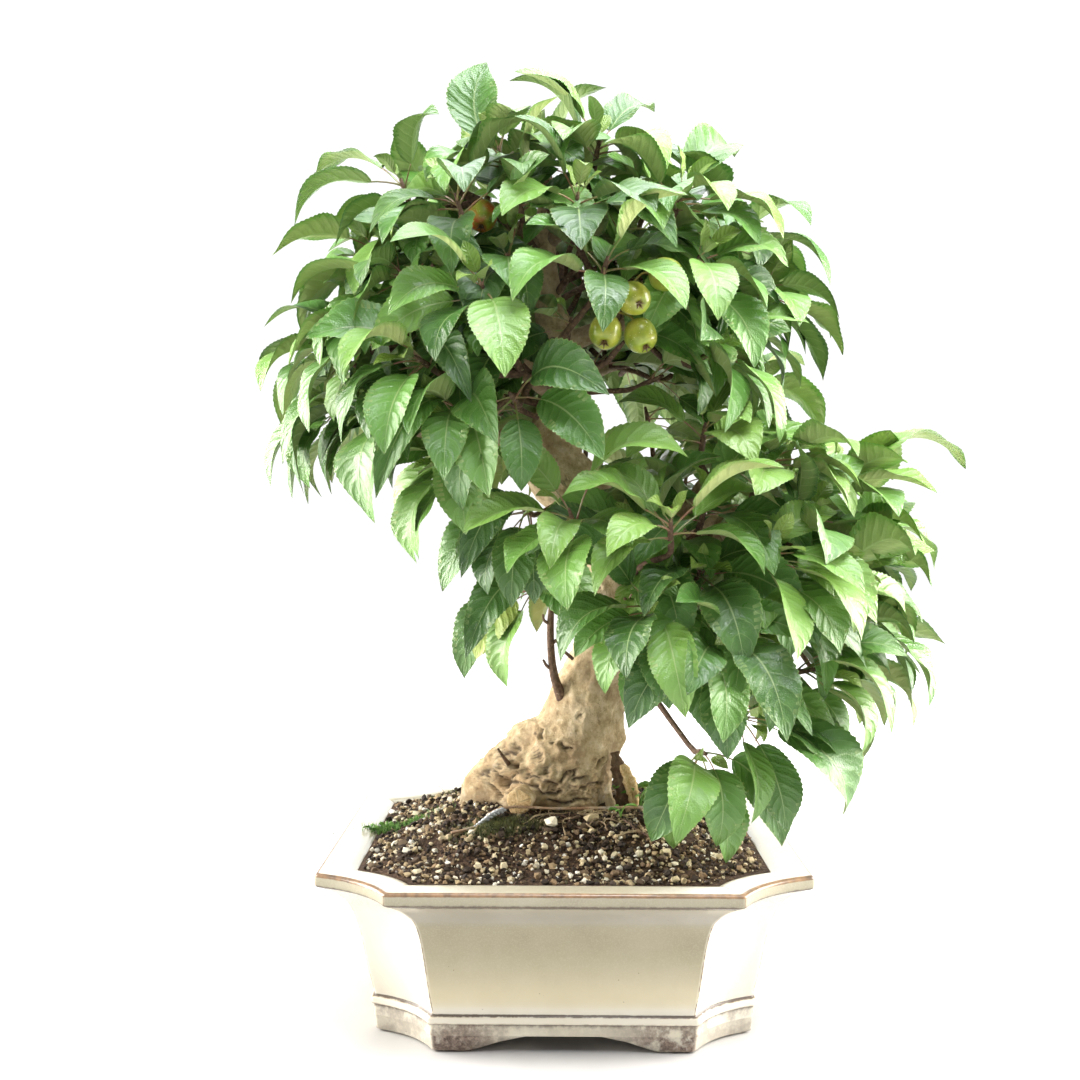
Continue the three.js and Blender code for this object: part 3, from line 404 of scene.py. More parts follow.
def moss_look():
    look = Look("moss and weeds", Roughness=0.7)
    fresh = look.ramp(look.noise(5, 3), (0.3, "45742b"), (0.6, "6b9a3c"), (0.8, "9aba58"))
    dull = look.ramp(look.noise(4, 3), (0.3, "37311c"), (0.6, "5f5a2c"), (0.8, "8a8046"))
    base = look.mix(look.value("fresh"), dull, fresh)
    look.set("Base Color", look.mix(look.range(look.value("height"), 0.0, 1.0, 0.55, 0.0), base, "1e2010"))
    return look.material


def trunk_bark(look, grain, fine):
    """Colours of the old bark: worn pale wood, ruddy scales, and light and dark patches."""
    trunk = look.ramp(grain, (0.28, "8a7557"), (0.42, "b9a17b"), (0.56, "d4bf98"), (0.74, "e8d9bd"))
    trunk = look.layer(trunk, "9c8363", look.noise(38, 4), 0.48, 0.68, 0.6)
    trunk = look.layer(trunk, "ddc9a8", look.noise(24, 4, 0.6), 0.55, 0.68, 0.6)
    ruddy = look.times(look.value("scaly"), look.range(look.noise(12, 3), 0.42, 0.62, 0.0, 0.6))
    trunk = look.mix(ruddy, trunk, "a98a60")
    trunk = look.layer(trunk, "967e5c", fine, 0.5, 0.7, 0.3)
    return look.layer(trunk, "e3d4b8", fine, 0.42, 0.3, 0.4)


def bark_look():
    """Bark from trunk to twig by its girth, with cut faces, and painted shade in the hollows and at the
    trunk's foot.
    """
    look = Look("crabapple bark", Roughness=0.88)
    grain = look.noise(9, 6, 0.66)
    fine = look.noise(2.6, 5, 0.7, look.stretched(1, 1, 0.55))
    lines = look.noise(1.8, 4, 0.7)
    twig = look.ramp(look.noise(3, 4), (0.3, "4b382c"), (0.55, "705745"), (0.8, "957c64"))
    base = look.layer(twig, trunk_bark(look, grain, fine), look.value("girth"), 3.0, 11.0)
    base = look.layer(base, "6a543f", lines, 0.55, 0.72, 0.5)
    flecks = look.range(look.cells(6, look.stretched(0.7, 0.7, 1.8)), 0.14, 0.06)
    base = look.mix(look.times(flecks, 0.5), base, "d8c8a6")
    rings = look.ramp(look.noise(2.6, 5, 0.7), (0.3, "a8814f"), (0.5, "d9ba86"), (0.75, "ecd8ac"))
    base = look.layer(base, rings, look.value("cut"), 0.3, 0.7)
    # Painted shade in hollows, crevices, seams and cracks, and painted shadow at the trunk's foot.
    look.set("Base Color", look.layer(base, "3a2a1d", look.value("pit"), 0.1, 0.9, 0.85))
    look.set("Roughness", look.range(grain, 0.3, 0.7, 0.92, 0.78))
    for height, depth in ((grain, 1.2), (fine, 0.9), (lines, 0.6), (look.noise(0.9, 3, 0.7), 0.25)):
        look.bump(height, depth)
    return look.material


def leaf_veins(look, along, beside):
    """The side veins of a blade, from 0 between them to 1 on them."""
    lean = look.times(look.maths("POWER", beside, 1.25), VEIN_LEAN)
    place = look.times(look.maths("SUBTRACT", along, lean), VEIN_PAIRS)
    share = look.maths("FRACT", look.maths("ADD", place, look.times(look.noise(9, 2), 0.5)))
    return look.times(look.maths("ABSOLUTE", look.maths("SUBTRACT", share, 0.5)), 2.0)


def leaf_top(look, veins, mottle):
    """Colours of the upper side, from old dark leaves to young bright ones."""
    tones = (0.0, "2b5021"), (0.3, "46722e"), (0.65, "5f903c"), (1.0, "7fa94e")
    top = look.layer(look.ramp(look.value("tone"), *tones), "6d9a50", mottle, 0.35, 0.7, 0.35)
    fresh = look.ramp(mottle, (0.3, "7e9e40"), (0.7, "9cb654"))
    top = look.layer(top, fresh, look.value("young"), 0.0, 1.0, 0.95)
    return look.layer(top, "9dba76", veins, 0.88, 0.985, 0.24)


def leaf_below(look, veins, mottle):
    """Colours of the pale lower side."""
    below = look.ramp(look.value("tone"), (0.0, "7b9257"), (0.5, "95a965"), (1.0, "b2bd7a"))
    below = look.layer(below, "7f985c", mottle, 0.4, 0.75, 0.35)
    return look.layer(below, "bccb8f", veins, 0.86, 0.98, 0.4)


def leaf_marks(look, base, along, beside):
    """Midrib, a pale margin of painted rim light, and small dry blemishes."""
    rib = look.maths("SUBTRACT", beside, look.range(along, 0.0, 1.0, 0.03, 0.0))
    base = look.layer(base, "aec285", rib, 0.025, 0.0, 0.6)
    # A pale margin painted as rim light.
    base = look.layer(base, "a3b868", beside, 0.955, 1.0, 0.55)
    blemish = look.range(look.noise(7, 5, 0.75), 0.71, 0.76)
    return look.mix(look.times(blemish, 0.5), base, "7c6a35")


def leaf_look():
    look = Look("crabapple leaf", Roughness=0.4, IOR=1.6)
    along, beside = look.value("along"), look.maths("ABSOLUTE", look.value("beside"))
    under = look.value("under")
    veins = leaf_veins(look, along, beside)
    mottle = look.noise(16, 4, 0.6)
    base = look.mix(under, leaf_top(look, veins, mottle), leaf_below(look, veins, mottle))
    base = leaf_marks(look, base, along, beside)
    base = look.mix(look.value("yellow"), base, look.ramp(mottle, (0.35, "c3d277"), (0.65, "a9c35e")))
    pink = look.ramp(look.noise(12, 2), (0.35, "7e8f4d"), (0.6, "9c7660"), (0.8, "8a4f4a"))
    look.set("Base Color", look.mix(look.value("stalk"), base, pink))
    shine = look.range(under, 0.0, 1.0, 0.33, 0.6)
    look.set("Roughness", look.maths("ADD", shine, look.range(mottle, 0.3, 0.7, -0.06, 0.08)))
    look.bump(look.times(look.range(veins, 0.3, 1.0, 1.0, 0.0), look.range(beside, 0.02, 0.2)), 0.4)
    look.bump(look.range(look.cells(1.6, feature="DISTANCE_TO_EDGE"), 0.0, 0.28), 0.12)
    return look.material


def apple_look():
    look = Look("crabapple skin", Roughness=0.3, IOR=1.46, Coat_Weight=0.3, Coat_Roughness=0.2)
    skin = look.ramp(look.noise(9, 3), (0.3, "6f8424"), (0.5, "8c9e34"), (0.7, "abb548"))
    skin = look.layer(skin, "a9ab50", look.value("height"), -0.6, 0.9, 0.5)
    red = look.ramp(look.noise(4, 4, 0.6), (0.3, "b4452c"), (0.7, "d07a3c"))
    blush = look.times(look.value("blush"), look.range(look.noise(13, 2), 0.36, 0.62))
    skin = look.mix(blush, skin, red)
    skin = look.mix(look.times(look.range(look.cells(2.1), 0.2, 0.1), 0.55), skin, "e6e1a6")
    skin = look.layer(skin, "6a5a2a", look.noise(3, 5, 0.75), 0.68, 0.76, 0.6)
    brown = look.ramp(look.noise(1.6, 3), (0.3, "3a2818"), (0.7, "7c6040"))
    look.set("Base Color", look.mix(look.value("dry"), skin, brown))
    look.bump(look.noise(2.4, 3), 0.08)
    return look.material


def wire_look():
    look = Look("weathered wire", Metallic=0.35, Roughness=0.4)
    base = look.ramp(look.noise(14, 4), (0.35, "a07c5e"), (0.52, "b79c80"), (0.7, "bdb8ae"))
    base = look.mix(look.value("silver"), base, "b9bcbf")
    look.set("Base Color", look.layer(base, "4a372a", look.noise(2, 4), 0.56, 0.7, 0.7))
    look.set("Roughness", look.range(look.noise(3, 3), 0.35, 0.7, 0.3, 0.65))
    look.bump(look.noise(1.2, 3), 0.12)
    return look.material


def mesh_look():
    look = Look("drain mesh plastic", Roughness=0.6)
    look.set("Base Color", look.ramp(look.noise(3, 4), (0.3, "161a14"), (0.7, "2d3328")))
    look.bump(look.range(look.cells(2.2, distance="CHEBYCHEV"), 0.2, 0.6), 0.4)
    return look.material


# ---------------------------------------------------------------- pot

POT_WIDTH, POT_DEPTH = 360, 300
# The scooped corners at the rim: how far they reach along the sides, steps round one, how round the
# scoop is. The upright edges next to them are rounded by so much, in so many points.
CORNER_X, CORNER_Y, CORNER_STEPS, SCOOP_DEPTH = 56, 39, 12, 0.5
EDGE_ROUND, ROUND_STEPS = 2.2, 5
SIDE_POINTS = 7
FOOT_HEIGHT, FLOOR_TOP = 13, 21
# The pot's section, from under the base up over the rim and down to the floor inside: height,
# inset, corner scale, how strongly the glaze breaks to brown there, how dark the painted shade in its
# crease is, how far it lies in the cove under the rim, whose glaze is greyer and painted in shade, and
# how pale the glaze is.
POT_SECTION = [
    (FOOT_HEIGHT, 37.5, 0.83, 0.2, 0, 0, 0.6), (21.2, 37.5, 0.83, 0.2, 0.7, 0, 0.7),
    (21.8, 36.4, 0.835, 0.3, 1.4, 0, 0.7),
    (22.6, 35.5, 0.84, 0.8, 0, 0, 0.8), (24.4, 35.5, 0.84, 0.1, 0, 0, 0.9),
    (26.4, 35.6, 0.84, 0.1, 0, 0, 0.9), (27.2, 36.4, 0.845, 0.9, 0.6, 0, 0.7),
    (28.2, 37.7, 0.85, 0.2, 1.4, 0, 0.7), (29.4, 37.6, 0.85, 0, 0, 0, 1),
    (33, 36.8, 0.86, 0, 0, 0, 0.9), (37, 36, 0.86, 0, 0, 0, 0.1), (50, 33.2, 0.88, 0, 0, 0, 0),
    (74, 29.4, 0.9, 0, 0, 0, 0), (90, 25.5, 0.93, 0, 0, 0, 0), (100, 21.4, 0.96, 0, 0, 0.1, 0),
    (104, 19.2, 0.97, 0, 0, 1, 0), (112, 12.4, 0.99, 0, 0, 1, 0), (118.4, 4, 1, 0, 0.6, 0.6, 0.1),
    (120, 1, 1, 0.1, 1.6, 0, 0.1), (121.4, 0, 1, 0.3, 0.5, 0, 0.1), (126.8, 0, 1, 0.2, 0, 0, 0.15),
    (128.2, 0.1, 1, 1.3, 0, 0, 0.2), (129.4, 0.9, 1, 1.6, 0, 0, 0.3), (130, 2.2, 1, 0.9, 0, 0, 0.3),
    (129.8, 4, 1, 0, 0, 0, 0.25), (129, 14, 0.9, 0, 0, 0, 0.25), (128.4, 22, 0.82, 0, 0, 0, 0.25),
    (126.4, 27, 0.78, 0.2, 0, 0, 0.3), (122, 30.4, 0.76, 0, 0, 0, 0.4), (100, 34, 0.76, 0, 0, 0, 0.3),
    (60, 41.6, 0.75, 0, 0, 0, 0), (FLOOR_TOP, 48, 0.74, 0, 0, 0, 0),
]
# The last rows of the section are the inner wall.
INNER_ROWS = 5
FOOT_INSET, FOOT_WALL, FOOT_CORNER = 38, 17, 0.83
# An arch between two feet: its half width at the top and at the table, how far inside those it
# starts and ends to rise, and how full its sides are.
FOOT_ARCH_FRONT, FOOT_ARCH_SIDE = (36, 62), (26, 48)
ARCH_EASE, ARCH_FULLNESS = (2, 3), 0.8
# The band of feet laps into the base, up to this height.
BAND_TOP = FOOT_HEIGHT + 0.6
# The band's section from its outer top round to its inner top: share of the wall, share of the way
# from the arch up to the band's top, and how far it is tucked in.
FOOT_SECTION = [(0, 1, 0), (0, 0.15, 1.2), (0.06, 0, 3.1), (0.94, 0, -1.6), (1, 0.15, 0), (1, 1, 0)]
# How strongly the glaze breaks to brown on the upright edges, below and above the floor's level, and
# how dark their crease is, between two heights.
EDGE_LINES = (0.3, 0.85)
EDGE_CREASE, EDGE_CREASE_LOW, EDGE_CREASE_HIGH = 0.8, 30, 100
# The glaze in the scoops is pale up to this height.
SCOOP_PALE_TOP = 118
# The panel is painted paler and warmer near this height as painted light, over about this much above
# and below.
WARM_LIGHT_HEIGHT, WARM_LIGHT_SPREAD = 32, 34
# The glaze below this height is thin and stained, less so over the arches, in the scoops above the
# band of feet, and in the scoops on that band.
FOOT_ZONE, FOOT_STAIN = 21.6, 0.85
CLEAN_ARCH, CLEAN_SCOOP, CLEAN_BAND_SCOOP = 0.7, 0.4, 0.6
BAND_LINE, BAND_PALE = 0.15, 0.8
DRAIN_X, DRAIN_RADIUS, DRAIN_SIDES = 62, 11, 32
# Edges that turn by more degrees than this are shaded sharp.
POT_EDGE_ANGLE = 50


def corner_cut(rows, rounds=2):
    """A line of rows with its corners cut off twice over, which rounds them."""
    rows = np.asarray(rows, float)
    for _ in range(rounds):
        first, second = rows[:-1], rows[1:]
        inner = np.stack([0.75 * first + 0.25 * second, 0.25 * first + 0.75 * second], axis=1)
        rows = np.vstack([rows[:1], inner.reshape(-1, rows.shape[1]), rows[-1:]])
    return rows


def rounded_corner(before, point, after):
    """Points that turn a sharp corner, and how near each lies to its middle."""
    t = np.linspace(0, 1, ROUND_STEPS)[:, None]
    start = point + unit(before - point) * EDGE_ROUND
    end = point + unit(after - point) * EDGE_ROUND
    places = (1 - t) ** 2 * start + 2 * t * (1 - t) * point + t**2 * end
    return places, 1 - np.abs(2 * t[:, 0] - 1)


def scooped_corners(half, scoop):
    """The plan's four corners in turn, each a line of points round its scoop."""
    t = np.linspace(0, 1, CORNER_STEPS + 1)
    cut = np.stack([lerp(1 - t, np.cos(t * np.pi / 2), SCOOP_DEPTH),
                    lerp(t, np.sin(t * np.pi / 2), SCOOP_DEPTH)], axis=1)
    corners = []
    for side_x, side_y, backwards in ((1, -1, False), (1, 1, True), (-1, 1, False), (-1, -1, True)):
        line = (half - scoop * cut) * (side_x, side_y)
        corners.append(line[::-1] if backwards else line)
    return corners


def pot_ring(inset, corner_scale):
    """The pot's plan, how near each point lies to an upright edge, and 1 at a corner's scoop."""
    half = np.array([POT_WIDTH, POT_DEPTH]) / 2 - inset
    corners = scooped_corners(half, np.array([CORNER_X, CORNER_Y]) * corner_scale)
    rise, plain = np.linspace(0, 1, ROUND_STEPS), np.zeros(SIDE_POINTS)
    places, edges, scoops = [], [], []
    for k, line in enumerate(corners):
        before, after = corners[k - 1][-1], corners[(k + 1) % 4][0]
        first, first_edge = rounded_corner(before, line[0], line[1])
        last, last_edge = rounded_corner(line[-2], line[-1], after)
        side_end = after + unit(last[-1] - after) * EDGE_ROUND
        inner = line[1:-1]
        places += [first, inner, last, np.linspace(last[-1], side_end, SIDE_POINTS + 2)[1:-1]]
        edges += [first_edge, np.zeros(len(inner)), last_edge, plain]
        scoops += [rise, np.ones(len(inner)), rise[::-1], plain]
    return np.concatenate(places), np.concatenate(edges), np.concatenate(scoops)


def arch_gap(plan):
    """Height of the gap under the base at each point of its plan."""
    gap = np.zeros(len(plan))
    for axis, (top, bottom) in enumerate((FOOT_ARCH_FRONT, FOOT_ARCH_SIDE)):
        straight = np.abs(plan[:, axis]) < bottom
        closed = smooth(top - ARCH_EASE[0], bottom - ARCH_EASE[1], np.abs(plan[straight, axis]))
        gap[straight] = FOOT_HEIGHT * (1 - closed) ** ARCH_FULLNESS
    return gap


def foot_band(skin):
    """The band of feet, whose lower edge rises in an arch along each straight side."""
    outer, _, scoop = pot_ring(FOOT_INSET, FOOT_CORNER)
    inner = pot_ring(FOOT_INSET + FOOT_WALL, FOOT_CORNER)[0]
    gap = arch_gap(outer)
    rings = []
    for share, rise, tuck in FOOT_SECTION:
        plan = lerp(outer, inner, share)
        rings.append(level(plan - unit(plan) * tuck, lerp(gap, BAND_TOP, rise)))
    rings.append(rings[0])
    foot = (1 - CLEAN_BAND_SCOOP * scoop) * (1 - CLEAN_ARCH * gap / FOOT_HEIGHT)
    skin.add(np.concatenate(rings), [grid_faces(len(rings), len(outer))], line=BAND_LINE, crease=0,
             cove=0, foot=np.tile(foot, len(rings)), warm=0, pale=BAND_PALE)


def glaze_values(row, plan, edge, scoop):
    """The glaze's named values round one ring of the section."""
    height, _, _, line, crease, cove, pale = row
    clean = (1 - CLEAN_SCOOP * scoop) * (1 - CLEAN_ARCH * arch_gap(plan) / FOOT_HEIGHT)
    creased = EDGE_CREASE * (EDGE_CREASE_LOW < height < EDGE_CREASE_HIGH)
    return {
        "line": np.maximum(line, edge * EDGE_LINES[int(height > FLOOR_TOP)]),
        "crease": np.maximum(crease, edge * creased),
        "cove": np.full(len(plan), cove),
        "foot": clean * FOOT_STAIN * (height < FOOT_ZONE),
        # Painted light: the glaze is paler and warmer low on the panel.
        "warm": np.full(len(plan), bell(height - WARM_LIGHT_HEIGHT, WARM_LIGHT_SPREAD)),
        "pale": np.maximum(pale, scoop * (height < SCOOP_PALE_TOP)),
    }


def build_pot():
    skin = Skin()
    rings, values = [], []
    for row in corner_cut(POT_SECTION):
        plan, edge, scoop = pot_ring(row[1], row[2])
        rings.append(level(plan, row[0]))
        values.append(glaze_values(row, plan, edge, scoop))
    joined = {name: np.concatenate([ring[name] for ring in values]) for name in values[0]}
    skin.add(np.concatenate(rings), tube_faces(len(rings), len(rings[0])), **joined)
    foot_band(skin)
    pot = skin.piece("glazed_pot", glaze_look(), "glaze", ["pot"])
    drill_pot(pot)
    pot.data.set_sharp_from_angle(angle=math.radians(POT_EDGE_ANGLE))


def drill_pot(pot):
    """The drain holes through the floor."""
    for side in (-1, 1):
        centre = np.array([side * DRAIN_X, 0, FLOOR_TOP - FOOT_HEIGHT]) * MM + ORIGIN_M
        bpy.ops.mesh.primitive_cylinder_add(
            vertices=DRAIN_SIDES, radius=DRAIN_RADIUS * MM, depth=3 * FOOT_HEIGHT * MM, location=centre)
        cutter = bpy.context.object
        cut = pot.modifiers.new("drain", "BOOLEAN")
        cut.operation, cut.object, cut.solver = "DIFFERENCE", cutter, "EXACT"
        drilled = pot.evaluated_get(bpy.context.evaluated_depsgraph_get())
        result = bpy.data.meshes.new_from_object(drilled)
        pot.modifiers.clear()
        pot.data = result
        bpy.data.objects.remove(cutter)


# ---------------------------------------------------------------- soil, grit and growth on it

# The bark's named values on plain wood, apart from its girth.
PLAIN_BARK = {"pit": 0, "cut": 0, "scaly": 0}
# The soil that is modelled: its gap to the pot's wall, and its heights at the base and by the wall.
SOIL_GAP, SOIL_BASE_HEIGHT, SOIL_EDGE_HEIGHT = 0.4, 96, 126
# Shares run from 0 at the trunk's foot to 1 at the wall. The soil mounds up from 1 to this share.
SOIL_MOUND, SOIL_MOUND_SHARE = 26, 0.38
SOIL_ROWS, SOIL_MIDDLE = 46, 0.02
# The soil's unevenness: height, size, octaves and shift of each layer, and how it calms down to its
# least towards the pot's wall.
SOIL_RELIEF = [(1.8, 34, 2, 0), (1.0, 9, 3, 5)]
SOIL_CALM_FROM, SOIL_CALM_RATE, SOIL_CALM_LEAST = 1.02, 12, 0.15
TRUNK_FOOT = np.array([-6.0, 22.0])
# Grains: how many are thrown over the pot, the shares between which they stay, their median width,
# how far its logarithm spreads, and the widest.
GRAINS = 13000
GRAIN_INNER, GRAIN_OUTER = 0.3, 0.975
GRAIN_MEDIAN, GRAIN_SPREAD, GRAIN_MOST = 2.8, 0.42, 7.0
# Near the trunk the grains are smaller and darker: how much, and the shares where that ends.
NEAR_WIDTH, NEAR_WIDTH_SHARES = 0.75, (0.35, 0.6)
NEAR_DARK, NEAR_DARK_SHARES = 2.2, (0.35, 0.65)
# How far a grain's middle lies over the soil, as a share of its width, and how far it leans.
GRAIN_LIFT, GRAIN_LEAN = (0.02, 0.3), 0.6
# How uneven a grain is from corner to corner and along each axis, and how flat it lies.
GRAIN_KNOBS, GRAIN_STRETCH, GRAIN_FLAT = (0.62, 1.24), (0.7, 1.25), (1, 1, 0.8)
# Patches of dark soil with few grains: size, octaves and shift of the noise that makes them, where
# it starts them, and the share left out.
BARE_NOISE, BARE_FROM, BARE_MOST = (26, 3, 8), 0.28, 0.75
# Grains below this width are given fewer faces.
GRAIN_FINE = 2.6
GRAIN_EDGE_ANGLE = 38
# Stones that stand out: x, y, width and tone.
STONES = [
    (-9, -54, 12, 0.93), (22, -46, 12, 0.8), (20, -30, 7, 0.8), (-92, -6, 9, 0.76), (-104, 10, 8, 0.9),
    (-70, -62, 7, 0.93), (-14, -80, 8, 0.86), (30, -90, 7, 0.93), (76, -84, 7, 0.86), (-112, -70, 7, 0.8),
    (-44, -98, 6, 0.86), (104, 40, 8, 0.78), (60, 96, 8, 0.9), (-60, 100, 9, 0.82), (-2, 112, 7, 0.92),
]
# Patches of moss: x, y, widths, number of spikes, their height, how fresh they are.
MOSS = [
    (-134, 6, 28, 11, 480, 5.0, 1.0), (-152, 4, 10, 8, 110, 8.5, 1.0), (-56, -56, 26, 11, 1500, 4.6, 0.12),
    (-26, -52, 16, 8, 500, 3.4, 0.05), (66, 4, 10, 8, 160, 6.0, 0.8), (40, 86, 30, 10, 500, 3.0, 0.3),
    (-90, 70, 26, 16, 420, 3.0, 0.2),
]
# A spike of moss: radius of its foot, how deep that stands, how its height varies, how far it leans.
SPIKE_RADIUS, SPIKE_DEPTH, SPIKE_HEIGHTS, SPIKE_LEAN = 0.55, 0.8, (0.5, 1.2), 0.35
# Seedlings: x, y, number of leaves, length of a leaf.
WEEDS = [
    (57, 0, 9, 26), (63, -10, 8, 20), (45, -42, 6, 15), (-158, 2, 5, 9), (-146, 12, 5, 8), (80, 50, 5, 12),
]
# A seedling's leaf as it rises and bends over: shares of its reach, outwards and up.
WEED_BOW = [(0, 0), (0.2, 0.7), (0.7, 0.85), (1, 0.8)]
WEED_REACH, WEED_RINGS, WEED_SIDES = (0.6, 1), 9, 6
# Half widths along it, at shares of its length, and how thin its blade is.
WEED_WIDTHS = [0, 0.4, 0.5, 0.75, 1], [0.35, 0.35, 0.9, 1.9, 0.1]
WEED_THIN, WEED_THIN_WIDTHS = 0.75, (0.4, 1)
# The angle from one leaf to the next, the golden angle in radians.
WEED_TURN = 2.4
# Dry rootlets that lie about the trunk's foot: the middle and widths of their patch, their number,
# the points of each, how high those lie, their radius, their steps and turns.
ROOTLET_PATCH = ((18, -40), (40, 15))
ROOTLETS, ROOTLET_POINTS, ROOTLET_RINGS, ROOTLET_SIDES = 26, 5, 22, 6
ROOTLET_LIFT, ROOTLET_RADIUS, ROOTLET_STEP, ROOTLET_TURN = (0.2, 3.4), (0.35, 0.75), (4, 10), 0.5
# Bits of twig: two ends, and a radius.
TWIG_BITS = [((-84, -62), (-66, -55), 1.1), ((-68, -64), (-63, -50), 0.9), ((40, -70), (56, -62), 0.8)]
TWIG_BIT_LIFT, TWIG_BIT_RINGS, TWIG_BIT_SIDES = 2.5, 12, 7
# The knee of such a bit: where along it, and how far it stands off the straight line.
TWIG_BIT_KNEE, TWIG_BIT_BEND = 0.45, (0, 1.2, 0.8, 0)


def pot_inside(height):
    """The inner plan of the pot at a height, less the soil's gap."""
    heights, insets, corners = np.array([row[:3] for row in POT_SECTION[-INNER_ROWS:]])[::-1].T
    inset, corner = np.interp(height, heights, insets), np.interp(height, heights, corners)
    return pot_ring(inset + SOIL_GAP, corner)[0]


SOIL_EDGE = pot_inside(SOIL_EDGE_HEIGHT)


def soil_height(places, shares):
    """Height of the soil at places whose shares run from 0 at the trunk to 1 at the pot's wall."""
    rise = SOIL_MOUND * smooth(1, SOIL_MOUND_SHARE, shares)
    calm = np.clip((SOIL_CALM_FROM - shares) * SOIL_CALM_RATE, SOIL_CALM_LEAST, 1)
    return SOIL_EDGE_HEIGHT + rise + rough(level(places), SOIL_RELIEF) * calm


def soil_shares(places):
    """How far each place lies from the trunk's foot towards the pot's wall."""
    ways = np.asarray(places, float) - TRUNK_FOOT
    edges = SOIL_EDGE - TRUNK_FOOT
    ahead = np.arctan2(edges[:, 1], edges[:, 0])
    headings = np.arctan2(ways[:, 1], ways[:, 0])
    reach = np.interp(headings, ahead, np.linalg.norm(edges, axis=1), period=2 * np.pi)
    return np.linalg.norm(ways, axis=1) / reach


def build_soil():
    shares = np.linspace(1, SOIL_MIDDLE, SOIL_ROWS)
    plan = np.concatenate([lerp(TRUNK_FOOT, SOIL_EDGE, share) for share in shares])
    top = level(plan, soil_height(plan, np.repeat(shares, len(SOIL_EDGE))))
    skirt = level(pot_inside(SOIL_BASE_HEIGHT), SOIL_BASE_HEIGHT)
    skin = Skin()
    skin.add(np.vstack([skirt, top]), tube_faces(SOIL_ROWS + 1, len(skirt)))
    skin.piece("soil_bed", soil_look(), "soil", ["soil"])


def fine_grain():
    """The 6 points and 8 faces of an octahedron."""
    points = [(1, 0, 0), (0, 1, 0), (-1, 0, 0), (0, -1, 0), (0, 0, 1), (0, 0, -1)]
    faces = [(0, 1, 4), (1, 2, 4), (2, 3, 4), (3, 0, 4), (1, 0, 5), (2, 1, 5), (3, 2, 5), (0, 3, 5)]
    return np.array(points, float), np.array(faces)


def coarse_grain():
    """The 12 points and 20 faces of an icosahedron."""
    g = (1 + math.sqrt(5)) / 2
    points = [(-1, g, 0), (1, g, 0), (-1, -g, 0), (1, -g, 0), (0, -1, g), (0, 1, g), (0, -1, -g),
              (0, 1, -g), (g, 0, -1), (g, 0, 1), (-g, 0, -1), (-g, 0, 1)]
    faces = [(0, 11, 5), (0, 5, 1), (0, 1, 7), (0, 7, 10), (0, 10, 11), (1, 5, 9), (5, 11, 4),
             (11, 10, 2), (10, 7, 6), (7, 1, 8), (3, 9, 4), (3, 4, 2), (3, 2, 6), (3, 6, 8), (3, 8, 9),
             (4, 9, 5), (2, 4, 11), (6, 2, 10), (8, 6, 7), (9, 8, 1)]
    return unit(np.array(points, float)), np.array(faces)


def grain_places(random):
    """Places all over the soil, clear of the trunk and of the pot's wall, and their shares."""
    places = random.uniform(SOIL_EDGE.min(axis=0), SOIL_EDGE.max(axis=0), (GRAINS, 2))
    shares = soil_shares(places)
    bare = drift(level(places), *BARE_NOISE) > BARE_FROM
    bare &= random.uniform(0, 1, GRAINS) < BARE_MOST
    keep = (shares > GRAIN_INNER) & (shares < GRAIN_OUTER) & ~bare
    places = np.vstack([np.array(STONES, float)[:, :2], places[keep]])
    return places, soil_shares(places)


def spun(points, lean, heading):
    """Each block of points leant about Y and then turned about Z."""
    x, y, z = points[..., 0], points[..., 1], points[..., 2]
    cos, sin = np.cos(lean)[:, None], np.sin(lean)[:, None]
    x, z = x * cos - z * sin, x * sin + z * cos
    cos, sin = np.cos(heading)[:, None], np.sin(heading)[:, None]
    return np.stack([x * cos - y * sin, x * sin + y * cos, z], axis=-1)


def grain_sizes(random, shares):
    """The width and the tone of each grain. The stones come first, with their own."""
    count, stones = len(shares), np.array(STONES, float)
    widths = np.minimum(GRAIN_MEDIAN * np.exp(random.normal(0, GRAIN_SPREAD, count)), GRAIN_MOST)
    widths *= lerp(NEAR_WIDTH, 1, smooth(*NEAR_WIDTH_SHARES, shares))
    tones = random.uniform(0, 1, count) ** lerp(NEAR_DARK, 1, smooth(*NEAR_DARK_SHARES, shares))
    widths[: len(stones)], tones[: len(stones)] = stones[:, 2], stones[:, 3]
    return widths, tones


def add_grains(skin, random, shape, faces, widths, tones, middles):
    """Grains of one shape, each with its corners pushed in and out."""
    count = len(widths)
    knobbly = shape[None] * random.uniform(*GRAIN_KNOBS, (count, len(shape), 1))
    knobbly *= random.uniform(*GRAIN_STRETCH, (count, 1, 3)) * GRAIN_FLAT
    leans = random.uniform(-GRAIN_LEAN, GRAIN_LEAN, count)
    grains = spun(knobbly, leans, random.uniform(0, 2 * np.pi, count))
    points = grains * widths[:, None, None] / 2 + middles[:, None]
    skin.add(points, repeated([faces], count, len(shape)), tone=np.repeat(tones, len(shape)))


def build_grit():
    random = np.random.default_rng(11)
    places, shares = grain_places(random)
    widths, tones = grain_sizes(random, shares)
    heights = soil_height(places, shares) + widths * random.uniform(*GRAIN_LIFT, len(widths))
    middles = level(places, heights)
    fine = widths < GRAIN_FINE
    skin = Skin()
    for shape, some in ((fine_grain(), fine), (coarse_grain(), ~fine)):
        add_grains(skin, random, *shape, widths[some], tones[some], middles[some])
    grit = skin.piece("soil_grains", grit_look(), "soil")
    grit.data.set_sharp_from_angle(angle=math.radians(GRAIN_EDGE_ANGLE))


def on_soil(place):
    """A place on the soil's surface, as a point."""
    place = np.asarray(place, float)
    height = soil_height(place[None], soil_shares(place[None]))[0]
    return np.array([*place, height])


